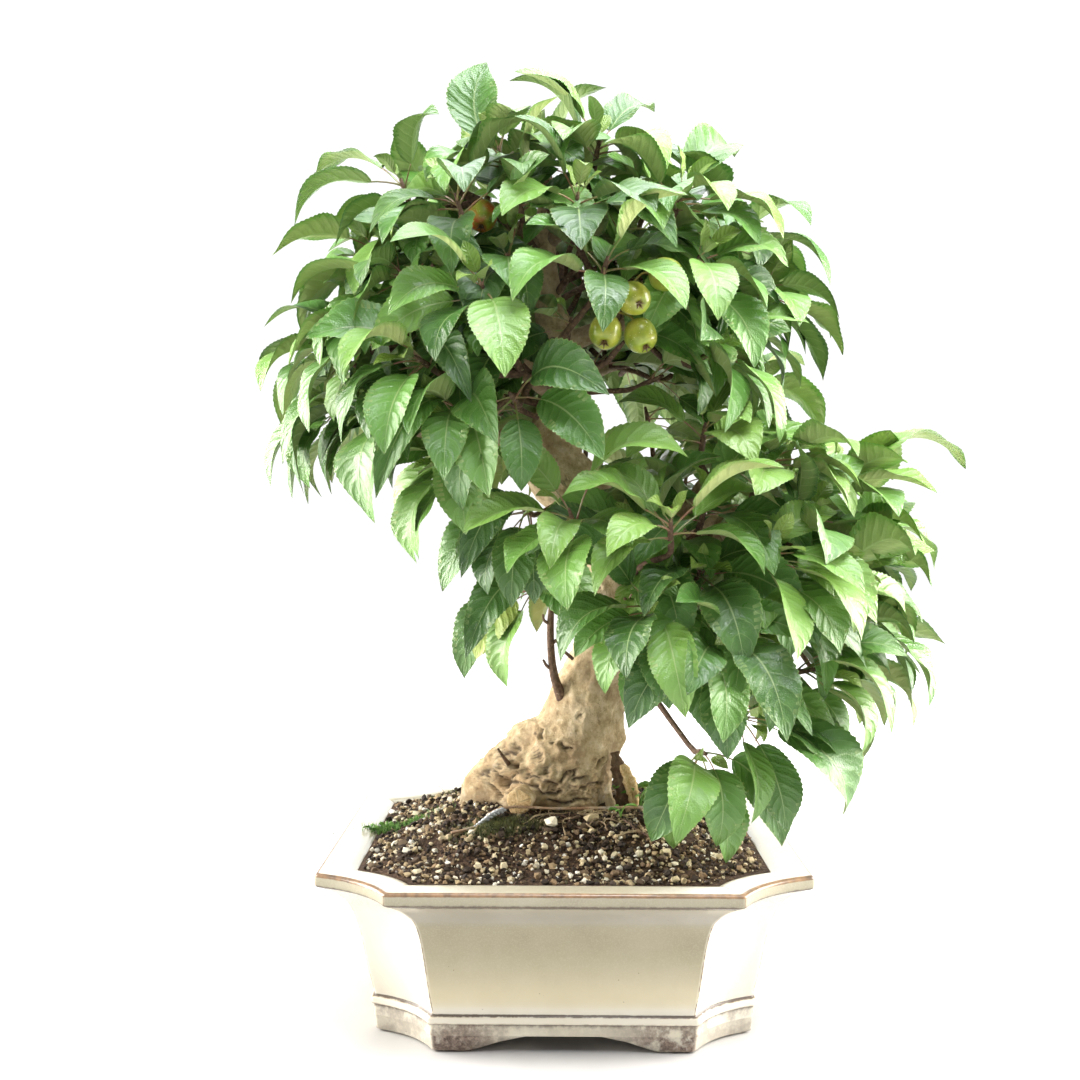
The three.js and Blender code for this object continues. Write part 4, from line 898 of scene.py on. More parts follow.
def add_moss(skin, random, x, y, wide, deep, count, height, fresh):
    """A patch of thin three-sided spikes."""
    sides = np.array([(0, 1, 3), (1, 2, 3), (2, 0, 3), (0, 2, 1)])
    for _ in range(count):
        foot = on_soil((x + random.normal(0, wide / 2), y + random.normal(0, deep / 2)))
        tall = height * random.uniform(*SPIKE_HEIGHTS)
        tip = foot + (*random.normal(0, tall * SPIKE_LEAN, 2), tall)
        angles = random.uniform(0, 2 * np.pi) + ring_angles(3)
        ring = np.column_stack([np.cos(angles), np.sin(angles), np.zeros(3)]) * SPIKE_RADIUS
        points = np.vstack([foot + ring - UP * SPIKE_DEPTH, tip])
        skin.add(points, [sides], fresh=fresh, height=[0, 0, 0, 1])


def add_weed(skin, random, x, y, count, length):
    """A seedling's narrow leaves, which rise from one place and bend over all round."""
    broad = np.interp(np.linspace(0, 1, WEED_RINGS), *WEED_WIDTHS)[:, None]
    thin = WEED_THIN * np.abs(np.sin(ring_angles(WEED_SIDES))) * smooth(*WEED_THIN_WIDTHS, broad)
    foot = on_soil((x, y)) - UP
    for k in range(count):
        reach = length * random.uniform(*WEED_REACH)
        out = heading_of(WEED_TURN * k + x)
        path = np.array([foot + (out * away + UP * rise) * reach for away, rise in WEED_BOW])
        skin.tube(curve_points(path, WEED_RINGS), broad * (1 - thin), fresh=1, height=0.9)


def build_growth():
    random = np.random.default_rng(23)
    skin = Skin()
    for patch in MOSS:
        add_moss(skin, random, *patch)
    for weed in WEEDS:
        add_weed(skin, random, *weed)
    skin.piece("moss_and_weeds", moss_look(), "soil")


def rootlet(random):
    """A wandering line of places with a radius, just over the soil."""
    place = np.array(ROOTLET_PATCH[0]) + random.normal(0, 0.5, 2) * ROOTLET_PATCH[1]
    heading = random.uniform(0, 2 * np.pi)
    rows = []
    for _ in range(ROOTLET_POINTS):
        lift = random.uniform(*ROOTLET_LIFT)
        rows.append((*(on_soil(place) + UP * lift), random.uniform(*ROOTLET_RADIUS)))
        heading += random.normal(0, ROOTLET_TURN)
        place = place + heading_of(heading)[:2] * random.uniform(*ROOTLET_STEP)
    return rows


def build_litter(look):
    """Dry rootlets and bits of twig that lie on the soil."""
    random = np.random.default_rng(61)
    skin = Skin()
    for _ in range(ROOTLETS):
        rows = curve_points(rootlet(random), ROOTLET_RINGS)
        skin.limb(rows, ROOTLET_SIDES, **PLAIN_BARK, girth=random.uniform(1, 9))
    for start, end, radius in TWIG_BITS:
        ends = [np.array([*(on_soil(place) + UP * TWIG_BIT_LIFT), radius]) for place in (start, end)]
        knee = lerp(*ends, TWIG_BIT_KNEE) + TWIG_BIT_BEND
        skin.limb(curve_points([ends[0], knee, ends[1]], TWIG_BIT_RINGS), TWIG_BIT_SIDES,
                  **PLAIN_BARK, girth=8)
    skin.piece("dry_rootlets", look, "bark")


# ---------------------------------------------------------------- wire

# The tie wire's route, as in the CAD source.
WIRE_ROUTE = [
    (80, -38, 128), (79, -38, 146), (70, -39, 157), (8, -41, 158.5), (-48, -40, 158), (-60, -42, 152),
    (-64, -43, 140), (-64, -43, 128),
]
WIRE_RADIUS = 1.1
# The two cut ends of the wire, twisted round each other, and the bare tail that sticks out.
TWIST_PATH = [(-46, -42, 158), (-54, -47, 156), (-62, -52, 151), (-68, -56, 147)]
TWIST_TURNS, TWIST_OFFSET = 4.5, 1.3
WIRE_TAIL = [(-64, -54, 149), (-72, -58, 147.5), (-86, -61, 145)]
# The wire isn't quite straight: how far it waves up and down, and over what length.
WIRE_WAVE, WIRE_WAVE_LENGTH = 0.35, 9
WIRE_RINGS, TWIST_RINGS, TAIL_RINGS = 110, 60, 20
WIRE_SIDES, STRAND_SIDES = 10, 8


def add_strand(skin, path, sides, silver):
    skin.tube(path, np.full((len(path), sides), WIRE_RADIUS), silver=silver)


def build_wire():
    skin = Skin()
    path = curve_points(WIRE_ROUTE, WIRE_RINGS)
    path[:, 2] += WIRE_WAVE * np.sin(path[:, 0] / WIRE_WAVE_LENGTH)
    add_strand(skin, path, WIRE_SIDES, 0)
    core = curve_points(TWIST_PATH, TWIST_RINGS)
    across, upward = np.moveaxis(frames_along(core), 1, 0)
    angles = np.linspace(0, TWIST_TURNS * 2 * np.pi, TWIST_RINGS)[:, None]
    for side in (0, np.pi):
        way = across * np.cos(angles + side) + upward * np.sin(angles + side)
        add_strand(skin, core + TWIST_OFFSET * way, STRAND_SIDES, 1)
    add_strand(skin, curve_points(WIRE_TAIL, TAIL_RINGS), STRAND_SIDES, 0)
    skin.piece("tie_down_wire", wire_look(), "wire", ["tie_wire"])


# ---------------------------------------------------------------- trunk and branches

# Trunk path from inside the soil to the crown: x, y, z, half width.
TRUNK = [
    (-7, 22, 124, 45), (-7, 22, 140, 45), (-5, 22, 152, 43), (-2, 21, 166, 41), (4, 20, 184, 39),
    (14, 19, 206, 37.5), (21, 17, 235, 31.5), (29, 14, 262, 26.5), (37, 11, 292, 24.5), (42, 8, 330, 23.5),
    (35, 6, 370, 24), (15, 5, 402, 26.5), (-8, 5, 430, 27.5), (-4, 8, 460, 21.5), (3, 9, 488, 17.8),
    (-2, 7, 526, 15.4), (-13, 3, 566, 12.2), (-16, 0, 602, 10), (-13, 0, 640, 7.2), (-15, 0, 668, 5),
]
TRUNK_RINGS, TRUNK_SIDES = 300, 170
# Root flare: heading in degrees, reach added, angular width.
ROOTS = [(181, 29, 24), (232, 9, 20), (292, 11, 22), (352, 5, 24), (52, 12, 26), (118, 14, 26)]
# Heights at which a root reaches out in full and not at all. Below the first it goes on widening.
ROOT_FADE = (162, 206)
ROOT_MOST = 1.2
# Knots and healed cuts on the bark, as seen from the front (or, where far, from the back): x, z,
# radius, height of the rim, depth of the middle.
KNOTS = [
    (-20, 194, 7, 1.6, 1.2), (-17, 207, 3, 0.8, 3.0), (-22, 209, 2, 0.6, 2.4), (-9, 205, 2.5, 0.8, 1.2),
    (-37, 197, 5, 1.6, 1.4), (-44, 190, 4, 1.4, 1.6), (-38, 184, 5, 2.0, 2.2), (-50, 180, 5, 1.8, 0.8),
    (-60, 172, 6, 2.2, 0.6), (-46, 170, 6, 2.0, 1.0), (-28, 180, 5, 1.6, 0.8), (-14, 182, 6, 1.2, 1.4),
    (-8, 170, 7, 1.6, 0.6), (8, 176, 5, 0.8, 1.4), (22, 168, 6, 1.4, 0.8), (14, 226, 4, 0.8, 1.0),
    (30, 190, 5, 0.8, 0.6), (28, 330, 5, 1.2, 1.4), (40, 300, 4, 1.0, 1.2), (-14, 428, 7, 1.6, 1.8),
    (2, 416, 5, 1.2, 1.2), (-1, 500, 4, 1.2, 1.2), (-8, 560, 3, 1.0, 1.0),
]
FAR_KNOTS = [(10, 190, 9, 2.2, 1.8), (-26, 178, 7, 2.0, 1.0), (38, 200, 6, 1.6, 1.4), (24, 300, 5, 1.4, 1.6)]
# Old wood grows round a knot in rings: the width of one, how deep it is next to the rim, and from
# where to where in its wave a ring's groove is dark with painted shade. The outline of a knot wavers
# by a share of its radius.
KNOT_RIPPLE, RIPPLE_DEPTH, RIPPLE_DARK = 2.6, 0.4, (-0.2, -0.9)
KNOT_WAVER, KNOT_WAVER_SIZE = 0.3, 9
# How dark the painted shade in the rings' grooves is, and from what depth on a hollow its painted shade is
# full.
RIPPLE_SHADE, DARK_FROM = 0.8, 2
# How far a knot's rings, rim, hollow and the middle darkest with painted shade spread, as shares of its
# radius.
RIPPLE_SPREAD, RIM_SPREAD, HOLLOW_SPREAD, DARK_SPREAD = 1.3, 0.4, 0.6, 0.35
# Crevices and lips of the old bark, as seen from the front: lines of x and z.
FOLDS = [
    [(-45, 171), (-36, 179), (-40, 183), (-35, 185)],
    [(-68, 172), (-57, 179), (-49, 174), (-46, 166), (-45, 171), (-33, 172), (-19, 170), (-16, 166),
     (-5, 165), (-1, 169)],
    [(-30, 177), (-24, 179), (-14, 175), (-4, 173)],
    [(-2, 175), (3, 183), (10, 184), (9, 176), (17, 179)],
    [(-2, 204), (7, 200)], [(-19, 208), (-17, 214)], [(-50, 188), (-44, 194), (-37, 191)],
    [(14, 170), (24, 174), (31, 170)], [(-60, 168), (-54, 163), (-50, 158)], [(26, 186), (33, 191)],
    [(-12, 160), (2, 158), (14, 162), (24, 160)],
]
FOLD_DEPTH, FOLD_WIDTH, FOLD_LIP = 2.6, 1.3, 1.4
# How far a crevice's lip lies from it, how far that spreads, and how wide and dark the painted shade in its
# pit is.
LIP_AWAY, LIP_SPREAD = 2.4 * FOLD_WIDTH, 1.3 * FOLD_WIDTH
FOLD_SHADE_WIDTH, FOLD_SHADE = 0.8 * FOLD_WIDTH, 0.95
# How far the crevices waver off their lines, and over what size. They end this far behind the front.
FOLD_WAVER, FOLD_WAVER_SIZE, FOLD_FRONT = 1.6, 7, 2
# The scaly skin of the old root flare: size and depth of a scale, how much flatter it is than wide,
# between which heights it fades out, how much higher that is to the left, and what is left out.
SCALE_SIZE, SCALE_DEPTH, SCALE_FLATNESS = 10, 2.0, 1.2
SCALE_FADE, SCALE_SLANT, SCALE_FAINT = (176, 222), 0.35, 0.01
# How the outlines of the scales are warped: how finely, how far, and from which seed. Without a
# seed, the places of noise_vector come from the clock.
SCALE_WARP, SCALE_WARP_MOST, SCALE_SEED = 1.7, 0.45, 5
# A scale rises over these distances from its seam, a share of its height from below the plain bark.
# The seam is darkened with painted shade over its own distances, and this dark.
SCALE_RISE, SCALE_BELOW = (0, 0.5), 0.6
SEAM_WIDTH, SEAM_SHADE = (0.02, 0.22), 0.55
# Patches without scales: size, octaves and shift of the noise that makes them, and its range.
SMOOTH_BARK, SMOOTH_BARK_RANGE = (26, 2, 4), (-0.5, 0.3)
# Bark on wood of the full girth and more: lumps and wrinkles as height, size, octaves and shift, and
# cracks that run upwards as depth, noise and stretch. Thin wood has less of them.
BARK_LAYERS = [(2.4, 30, 2, 0), (1.3, 13, 3, 9), (0.7, 6, 4, 3)]
CRACK_DEPTH, CRACK_NOISE, CRACK_STRETCH = 0.8, (8, 3, 21), (1, 1, 0.6)
FULL_GIRTH, LEAST_BARK = 30, 0.12
# The painted shadow at the trunk's foot: how dark, the heights between which it fades out, and how far
# and over what size that edge wavers.
FOOT_SHADOW_MOST, FOOT_SHADOW_FADE = 0.5, (152, 168)
FOOT_SHADOW_WAVER, FOOT_SHADOW_WAVER_SIZE = 5, 14
# A sawn root: points with a radius. Its end face is rings at shares of the radius, which bulge out
# between two distances. Cracks painted dark with shade run in from the rim at these headings in degrees.
CUT_ROOT = [(-20, 6, 157, 9), (-30, -16, 161, 10), (-35, -35, 162, 10)]
CUT_RINGS, CUT_SIDES, CUT_GIRTH = 22, 40, 25
CUT_FACE_SHARES, CUT_BULGE = (0.97, 0.8, 0.6, 0.4, 0.2, 0.02), (0.4, 1.2)
CUT_CRACKS, CUT_CRACK_WIDTH, CUT_CRACK_SHADE = (15, 95, 215), 0.1, 0.7
# How far from round the root is: share of the radius, number of waves, and their start.
CUT_WAVES = [(0.06, 3, 1), (0.04, 5, 0)]
# Torn pieces of old bark: points with a half width, and how bare and pale the wood is.
BARK_FLAKES = [
    ([(51, -4, 152, 7), (49, -6, 168, 7), (45, -9, 184, 6), (42, -11, 196, 3)], 0.0),
    ([(58, -15, 152, 4), (56, -16, 166, 5), (52, -17, 179, 4.5), (48, -18, 188, 2.2)], 0.8),
    ([(40, -22, 150, 5), (38, -22, 158, 4.5), (36, -21, 165, 2)], 0.2),
]
FLAKE_RINGS, FLAKE_SIDES = 24, 14
FLAKE_THINNESS, FLAKE_RAGGED, FLAKE_RAGGED_SIZE = 0.22, 0.45, 4
# The girth that sets the look of a flake's bark: where it is covered, and where it is bare.
FLAKE_GIRTHS = (5, 20)
# Short dead stubs of twigs: points with a radius.
DEAD_STUBS = [
    [(-44, -2, 184, 2.0), (-50, -5, 193, 1.5), (-53, -6, 198, 1.0)],
    [(8, -10, 272, 1.6), (0, -16, 280, 1.2), (-6, -18, 288, 0.6)],
    [(-7, -7, 262, 1.7), (-13, -8, 266, 1.2), (-16, -8, 271, 0.8)],
    [(-9, -8, 284, 1.6), (-3, -9, 289, 1.1), (0, -10, 295, 0.8)],
    [(-10, -9, 300, 1.5), (-15, -10, 303, 1.1), (-16, -10, 308, 0.8)],
]
STUB_RINGS, STUB_SIDES = 14, 8
# Branches, from the trunk outwards: points with a radius.
BRANCHES = [
    [(-8, 5, 430, 12), (-58, -12, 448, 9), (-112, -24, 456, 6.5), (-168, -16, 474, 4)],
    [(-2, 8, 500, 10), (-52, -28, 522, 7.5), (-108, -44, 536, 5.5), (-165, -28, 552, 3.6)],
    [(-10, 4, 556, 7.5), (-56, 34, 580, 5.8), (-112, 44, 600, 3.6)],
    [(2, 8, 484, 8.5), (-14, -42, 486, 6.4), (-30, -86, 492, 3.8)],
    [(-2, 7, 526, 9), (42, -16, 540, 6.8), (88, -34, 548, 5.2), (134, -16, 552, 3.6)],
    [(-6, 7, 452, 9), (-40, 58, 474, 6.8), (-86, 98, 494, 5), (-128, 92, 510, 3.6)],
    [(2, 9, 496, 9), (38, 58, 516, 6.6), (78, 98, 530, 4.6), (118, 92, 540, 3.4)],
    [(-16, 0, 598, 6.6), (-46, -22, 622, 5), (-80, -34, 640, 3.4)],
    [(-15, 0, 606, 6.6), (18, -20, 628, 5), (64, -22, 640, 3.4)],
    [(-13, 3, 562, 7), (0, 54, 588, 5.4), (6, 98, 602, 3.6)],
    [(38, 8, 352, 15), (78, 0, 380, 12.5), (130, -8, 388, 10), (186, -8, 380, 7), (232, 2, 366, 4.2)],
    [(126, -8, 386, 8), (140, -44, 352, 6.2), (146, -62, 306, 4.8), (136, -64, 262, 3.4)],
    [(186, -8, 380, 7), (212, 2, 336, 5.4), (222, 6, 292, 3.6)],
    [(38, 8, 352, 9), (46, -44, 356, 6.6), (52, -86, 348, 4)],
    [(84, 0, 380, 9), (112, 44, 380, 6.8), (150, 72, 356, 5), (190, 70, 322, 3.6)],
    [(40, 9, 320, 6), (4, -18, 326, 4.8), (-14, -30, 334, 3.2)],
    [(98, -4, 384, 8), (116, -22, 416, 6), (146, -24, 428, 3.8)],
]
BRANCH_RINGS, BRANCH_SIDES = 50, 14
# The dead upright shoot in front of the trunk: points with a radius, and the girth of its look.
DEAD_SHOOT = [(6, 8, 224, 9), (-1, -1, 240, 5), (-7, -6, 258, 3.4), (-10, -8, 290, 2.8), (-9, -9, 322, 2.2)]
DEAD_GIRTH = 3
# A twig runs from the nearest wood to its shoot: radius, and shares of it from the foot to the tip.
TWIG_RADIUS, TWIG_SHARES = 2.2, (1.5, 1.15, 1, 1.1, 0.55)
# It leaves from wood that lies behind its shoot, by this much at least as the cosine of an angle,
# and near a point set back along the shoot. Its last stretch is straight.
TWIG_SETBACK, TWIG_TURN, TWIG_STRAIGHT = 25, 0.2, 9
# How far its middle strays, how far along the shoot it is still thick, and how far it sticks out.
TWIG_STRAY, TWIG_THICK_TO, TWIG_PAST = 1.2, 4, 2
TWIG_RINGS, TWIG_SIDES = 12, 7
# Twigs leave the trunk from this point of it upwards. The wood is known by so many points.
TRUNK_TWIGS_FROM = 8
TRUNK_STATIONS, BRANCH_STATIONS = 25, 17
WOOD_POINTS = np.vstack(
    [curve_points(TRUNK[TRUNK_TWIGS_FROM:], TRUNK_STATIONS)[:, :3]]
    + [curve_points(branch[1:], BRANCH_STATIONS)[:, :3] for branch in BRANCHES])


def root_flare(angles, heights):
    """How much further than its path's radii the trunk reaches, at each heading and height."""
    full, none = ROOT_FADE
    fade = np.clip((none - heights) / (none - full), 0, ROOT_MOST)
    return sum(reach * fade * bell(turn_between(angles, heading), math.radians(width))
               for heading, reach, width in ROOTS)


def turn_between(angles, heading):
    """The signed angles from a heading in degrees, the short way round."""
    return np.angle(np.exp(1j * (angles - math.radians(heading))))


def one_knot(away, radius, rim, depth):
    """Relief and painted shade of one knot at distances from its middle."""
    near = bell(away, radius * RIPPLE_SPREAD)
    groove = np.cos(away * 2 * np.pi / KNOT_RIPPLE)
    rings = RIPPLE_DEPTH * rim * groove * near
    relief = rim * bell(away - radius, radius * RIM_SPREAD) - depth * bell(away, radius * HOLLOW_SPREAD)
    middle = bell(away, radius * DARK_SPREAD) * min(1, depth / DARK_FROM)
    return relief + rings, np.maximum(middle, RIPPLE_SHADE * near * smooth(*RIPPLE_DARK, groove))


def knot_relief(points, middles):
    """How far knots push bark out, and how dark the painted shade in their hollows is, at each point."""
    relief, pit = np.zeros(len(points)), np.zeros(len(points))
    waver = KNOT_WAVER * drift(points, KNOT_WAVER_SIZE, 2)
    front = points[:, 1] < middles[:, 1]
    for knots, facing in ((KNOTS, front), (FAR_KNOTS, ~front)):
        for x, z, radius, rim, depth in knots:
            away = np.hypot(points[:, 0] - x, points[:, 2] - z) + radius * waver
            rise, dark = one_knot(away, radius, rim, depth)
            relief, pit = relief + rise * facing, np.maximum(pit, dark * facing)
    return relief, pit


def line_distance(places, line):
    """How far each place on a plane lies from a line of straight stretches."""
    corners = np.array(line, float)
    least = np.full(len(places), np.inf)
    for start, end in zip(corners[:-1], corners[1:]):
        way = end - start
        share = np.clip((places - start) @ way / (way @ way), 0, 1)
        least = np.minimum(least, np.linalg.norm(places - start - share[:, None] * way, axis=1))
    return least


def fold_relief(points, middles):
    """Relief and painted shade of the crevices on the trunk's front."""
    waver = [drift(points, FOLD_WAVER_SIZE, 2, shift) for shift in (1, 6)]
    places = points[:, [0, 2]] + FOLD_WAVER * np.column_stack(waver)
    least = np.min([line_distance(places, line) for line in FOLDS], axis=0)
    front = points[:, 1] < middles[:, 1] - FOLD_FRONT
    relief = FOLD_LIP * bell(least - LIP_AWAY, LIP_SPREAD) - FOLD_DEPTH * bell(least, FOLD_WIDTH)
    return relief * front, FOLD_SHADE * bell(least, FOLD_SHADE_WIDTH) * front


def scale_heights(points):
    """The height that fades the scales out, at each point."""
    return points[:, 2] + SCALE_SLANT * points[:, 0]


def scales(points):
    """Relief, and seams darkened with painted shade, of the scaly old bark low on the trunk."""
    fade = 1 - smooth(*SCALE_FADE, scale_heights(points))
    seams = np.ones(len(points))
    noise.seed_set(SCALE_SEED)
    for i in np.flatnonzero(fade > SCALE_FAINT):
        place = Vector(points[i] / SCALE_SIZE * (1, 1, SCALE_FLATNESS))
        place += Vector(noise.noise_vector(place * SCALE_WARP)) * SCALE_WARP_MOST
        near = noise.voronoi(place)[0]
        seams[i] = near[1] - near[0]
    fade = fade * smooth(*SMOOTH_BARK_RANGE, drift(points, *SMOOTH_BARK))
    relief = SCALE_DEPTH * fade * (smooth(*SCALE_RISE, seams) - SCALE_BELOW)
    return relief, SEAM_SHADE * fade * (1 - smooth(*SEAM_WIDTH, seams))


def bark_relief(points, girth):
    """Lumps, wrinkles and cracks of bark on wood of a given half width."""
    cracks = np.abs(drift(points * CRACK_STRETCH, *CRACK_NOISE))
    relief = rough(points, BARK_LAYERS) - CRACK_DEPTH * cracks
    return relief * np.clip(girth / FULL_GIRTH, LEAST_BARK, 1)


def add_wood(skin, controls, rings, sides, **values):
    """One tapering limb with barky relief."""
    rows = curve_points(controls, rings)
    girth = np.repeat(rows[:, 3:4], sides, axis=1)
    bare = tube_points(rows[:, :3], girth).reshape(-1, 3)
    relief = bark_relief(bare, girth.ravel()).reshape(rings, sides)
    skin.tube(rows[:, :3], girth + relief, **{**PLAIN_BARK, "girth": girth, **values})


def add_trunk(skin):
    """The trunk with its root flare, knots, crevices, scales and a foot darkened by painted shadow."""
    rows = curve_points(TRUNK, TRUNK_RINGS)
    path, girth = rows[:, :3], np.repeat(rows[:, 3:4], TRUNK_SIDES, axis=1)
    wide = girth + root_flare(ring_angles(TRUNK_SIDES)[None], path[:, 2:3])
    bare = tube_points(path, wide).reshape(-1, 3)
    middles = np.repeat(path, TRUNK_SIDES, axis=0)
    # Painted shadow darkens the trunk's foot, up to a wavering edge.
    edge = bare[:, 2] + FOOT_SHADOW_WAVER * drift(bare, FOOT_SHADOW_WAVER_SIZE, 2)
    relief, pit = bark_relief(bare, girth.ravel()), FOOT_SHADOW_MOST * (1 - smooth(*FOOT_SHADOW_FADE, edge))
    for extra, dark in (knot_relief(bare, middles), fold_relief(bare, middles), scales(bare)):
        relief, pit = relief + extra, np.maximum(pit, dark)
    skin.tube(path, wide + relief.reshape(wide.shape), pit=pit, cut=0,
              scaly=smooth(*SCALE_FADE[::-1], scale_heights(bare)), girth=girth)


def add_cut_root(skin):
    """A sawn root: its bark, and an end face with cracks of painted shade that run in from the rim."""
    rows = curve_points(CUT_ROOT, CUT_RINGS)
    face = np.repeat(rows[-1:], len(CUT_FACE_SHARES), axis=0)
    face[:, 3] *= CUT_FACE_SHARES
    face[:, :3] += unit(rows[-1, :3] - rows[-2, :3]) * np.linspace(*CUT_BULGE, len(face))[:, None]
    path = np.vstack([rows, face])
    angles = ring_angles(CUT_SIDES)
    waves = sum(most * np.sin(count * angles + start) for most, count, start in CUT_WAVES)
    radii = path[:, 3:4] * (1 + waves)
    pairs = frames_along(rows[:, :3])
    pairs = np.vstack([pairs, np.repeat(pairs[-1:], len(face), axis=0)])
    points = path[:, None, :3] + spokes(pairs[:, 0], pairs[:, 1], CUT_SIDES) * radii[..., None]
    cut = np.repeat(np.arange(len(path)) >= len(rows), CUT_SIDES)
    cracks = np.max([bell(turn_between(angles, crack), CUT_CRACK_WIDTH) for crack in CUT_CRACKS], axis=0)
    pit = np.tile(cracks, len(path)) * cut * CUT_CRACK_SHADE
    skin.add(points, tube_faces(len(path), CUT_SIDES), pit=pit, cut=cut, scaly=1, girth=CUT_GIRTH)


def add_flake(skin, controls, bare):
    """A thin torn piece of dry bark."""
    rows = curve_points(controls, FLAKE_RINGS)
    angles = ring_angles(FLAKE_SIDES)
    thin = np.hypot(np.cos(angles), FLAKE_THINNESS * np.sin(angles))
    ragged = 1 + FLAKE_RAGGED * drift(rows[:, :3], FLAKE_RAGGED_SIZE)[:, None]
    skin.tube(rows[:, :3], rows[:, 3:4] * thin * ragged, pit=0, cut=bare, scaly=0,
              girth=lerp(*FLAKE_GIRTHS, bare))


def build_trunk():
    look = bark_look()
    skin = Skin()
    add_trunk(skin)
    add_cut_root(skin)
    for flake, bare in BARK_FLAKES:
        add_flake(skin, flake, bare)
    for stub in DEAD_STUBS:
        add_wood(skin, stub, STUB_RINGS, STUB_SIDES)
    add_wood(skin, DEAD_SHOOT, BRANCH_RINGS, BRANCH_SIDES, girth=DEAD_GIRTH)
    skin.piece("trunk", look, "bark", ["wood"])
    return look


def twig_start(straight, axis):
    """The nearest wood from which a twig can leave without bending back."""
    place = straight - axis * TWIG_SETBACK
    behind = WOOD_POINTS[unit(straight - WOOD_POINTS) @ axis > TWIG_TURN]
    return behind[np.argmin(np.linalg.norm(behind - place, axis=1))]


def twig_rows(shoot, random):
    """The path of the twig that carries a shoot, with radii."""
    end, axis = shoot["end"], shoot["axis"]
    straight = end - axis * TWIG_STRAIGHT
    start = twig_start(straight, axis)
    middle = lerp(start, straight, 0.5) + random.normal(0, TWIG_STRAY, 3)
    places = [start, middle, straight, end + axis * TWIG_THICK_TO, end + axis * (SHOOT_LENGTH + TWIG_PAST)]
    return np.column_stack([places, TWIG_RADIUS * np.array(TWIG_SHARES)])


def build_branches(look, shoots):
    random = np.random.default_rng(31)
    skin = Skin()
    for branch in BRANCHES:
        add_wood(skin, branch, BRANCH_RINGS, BRANCH_SIDES)
    for shoot in shoots:
        add_wood(skin, twig_rows(shoot, random), TWIG_RINGS, TWIG_SIDES)
    skin.piece("branches_and_twigs", look, "bark", ["wood"])


# ---------------------------------------------------------------- fruit

APPLE_RADIUS = 11.5
# An apple isn't quite round: share of its radius and number of waves round it.
APPLE_LOBES = [(0.02, 5), (0.015, 2)]
# The profile starts and ends at this share of the radius, so that no ring is a point.
APPLE_TIP = 0.004
# How far the dry end by the calyx spreads, as a share of the radius.
DRY_SPREAD = 0.2
# Half section of an apple from the calyx up to the stalk: share of the radius, height.
APPLE_PROFILE = [
    (0, -0.86), (0.16, -0.9), (0.3, -1.0), (0.5, -0.97), (0.76, -0.76), (0.93, -0.42), (1.0, 0.0),
    (0.96, 0.36), (0.8, 0.68), (0.55, 0.86), (0.3, 0.84), (0.12, 0.68), (0, 0.6),
]
APPLE_ROWS, APPLE_SIDES = 30, 30
# The dry sepals stand round the calyx: how deep and how far out their feet are, their bow as
# lengths down and out, their radius from foot to tip, and their section's shares of it.
SEPALS, SEPAL_DEPTH, SEPAL_OUT = 5, 0.86, 1.2
# From one to the next it is about a fifth of a turn, in radians.
SEPAL_TURN = 1.257
SEPAL_BOW = [(0, 0), (2.0, 0.5), (3.4, 2.6)]
SEPAL_RADII, SEPAL_RINGS = (1.1, 0.15), 8
SEPAL_SECTION = np.array([1, 0.5, 0.4, 0.5, 1, 0.5, 0.4, 0.5])
# The spur that bears the fruit: its length past its start, how far it is sunk into the twig, its
# radii from there to its tip, rings and sides.
FRUIT_SPUR, SPUR_SUNK, SPUR_RADII = 5, 2, (2.6, 2.3, 2.6)
SPUR_RINGS, SPUR_SIDES = 10, 10
# A stalk leaves the spur at a share of its length and bends in under its apple: how much it lifts,
# where its knee is, how far over the apple's middle it straightens and ends, in radii.
STALK_FROM, STALK_LIFT, STALK_KNEE, STALK_OVER, STALK_END = 0.6, 0.6, 0.6, 1.5, 0.55
# Its radius, and how much and how far it swells at the spur.
STALK_RADIUS, STALK_SWELL, STALK_SWELL_SHARE = 0.8, 0.8, 0.12
STALK_RINGS, STALK_SIDES = 24, 8
# Fruiting spurs: the node each replaces, where its spur starts, its way, its apples, their blush.
FRUITS = [
    ("fruit_cluster", (34, -104, 534), (-0.1, -1, 0.25),
     [(28, -140, 514), (47, -142, 536), (52, -136, 512), (70, -124, 556)], 0.12),
    ("fruit_single_low", (-8, -80, 517), (0, -0.9, -0.3), [(-9, -100, 495)], 0.4),
    ("fruit_single_high", (-58, -40, 632), (-0.1, -0.9, -0.2), [(-61, -60, 614)], 1.0),
]


def add_calyx(skin, centre, way, side, front):
    """The dry sepals at the end of an apple that is turned away from its stalk."""
    radii = np.linspace(*SEPAL_RADII, SEPAL_RINGS)[:, None] * SEPAL_SECTION
    for angle in np.arange(SEPALS) * SEPAL_TURN:
        lean = side * math.cos(angle) + front * math.sin(angle)
        foot = centre - way * APPLE_RADIUS * SEPAL_DEPTH + lean * SEPAL_OUT
        path = [foot - way * down + lean * out for down, out in SEPAL_BOW]
        skin.tube(curve_points(path, SEPAL_RINGS), radii, blush=0, dry=1, height=-1)


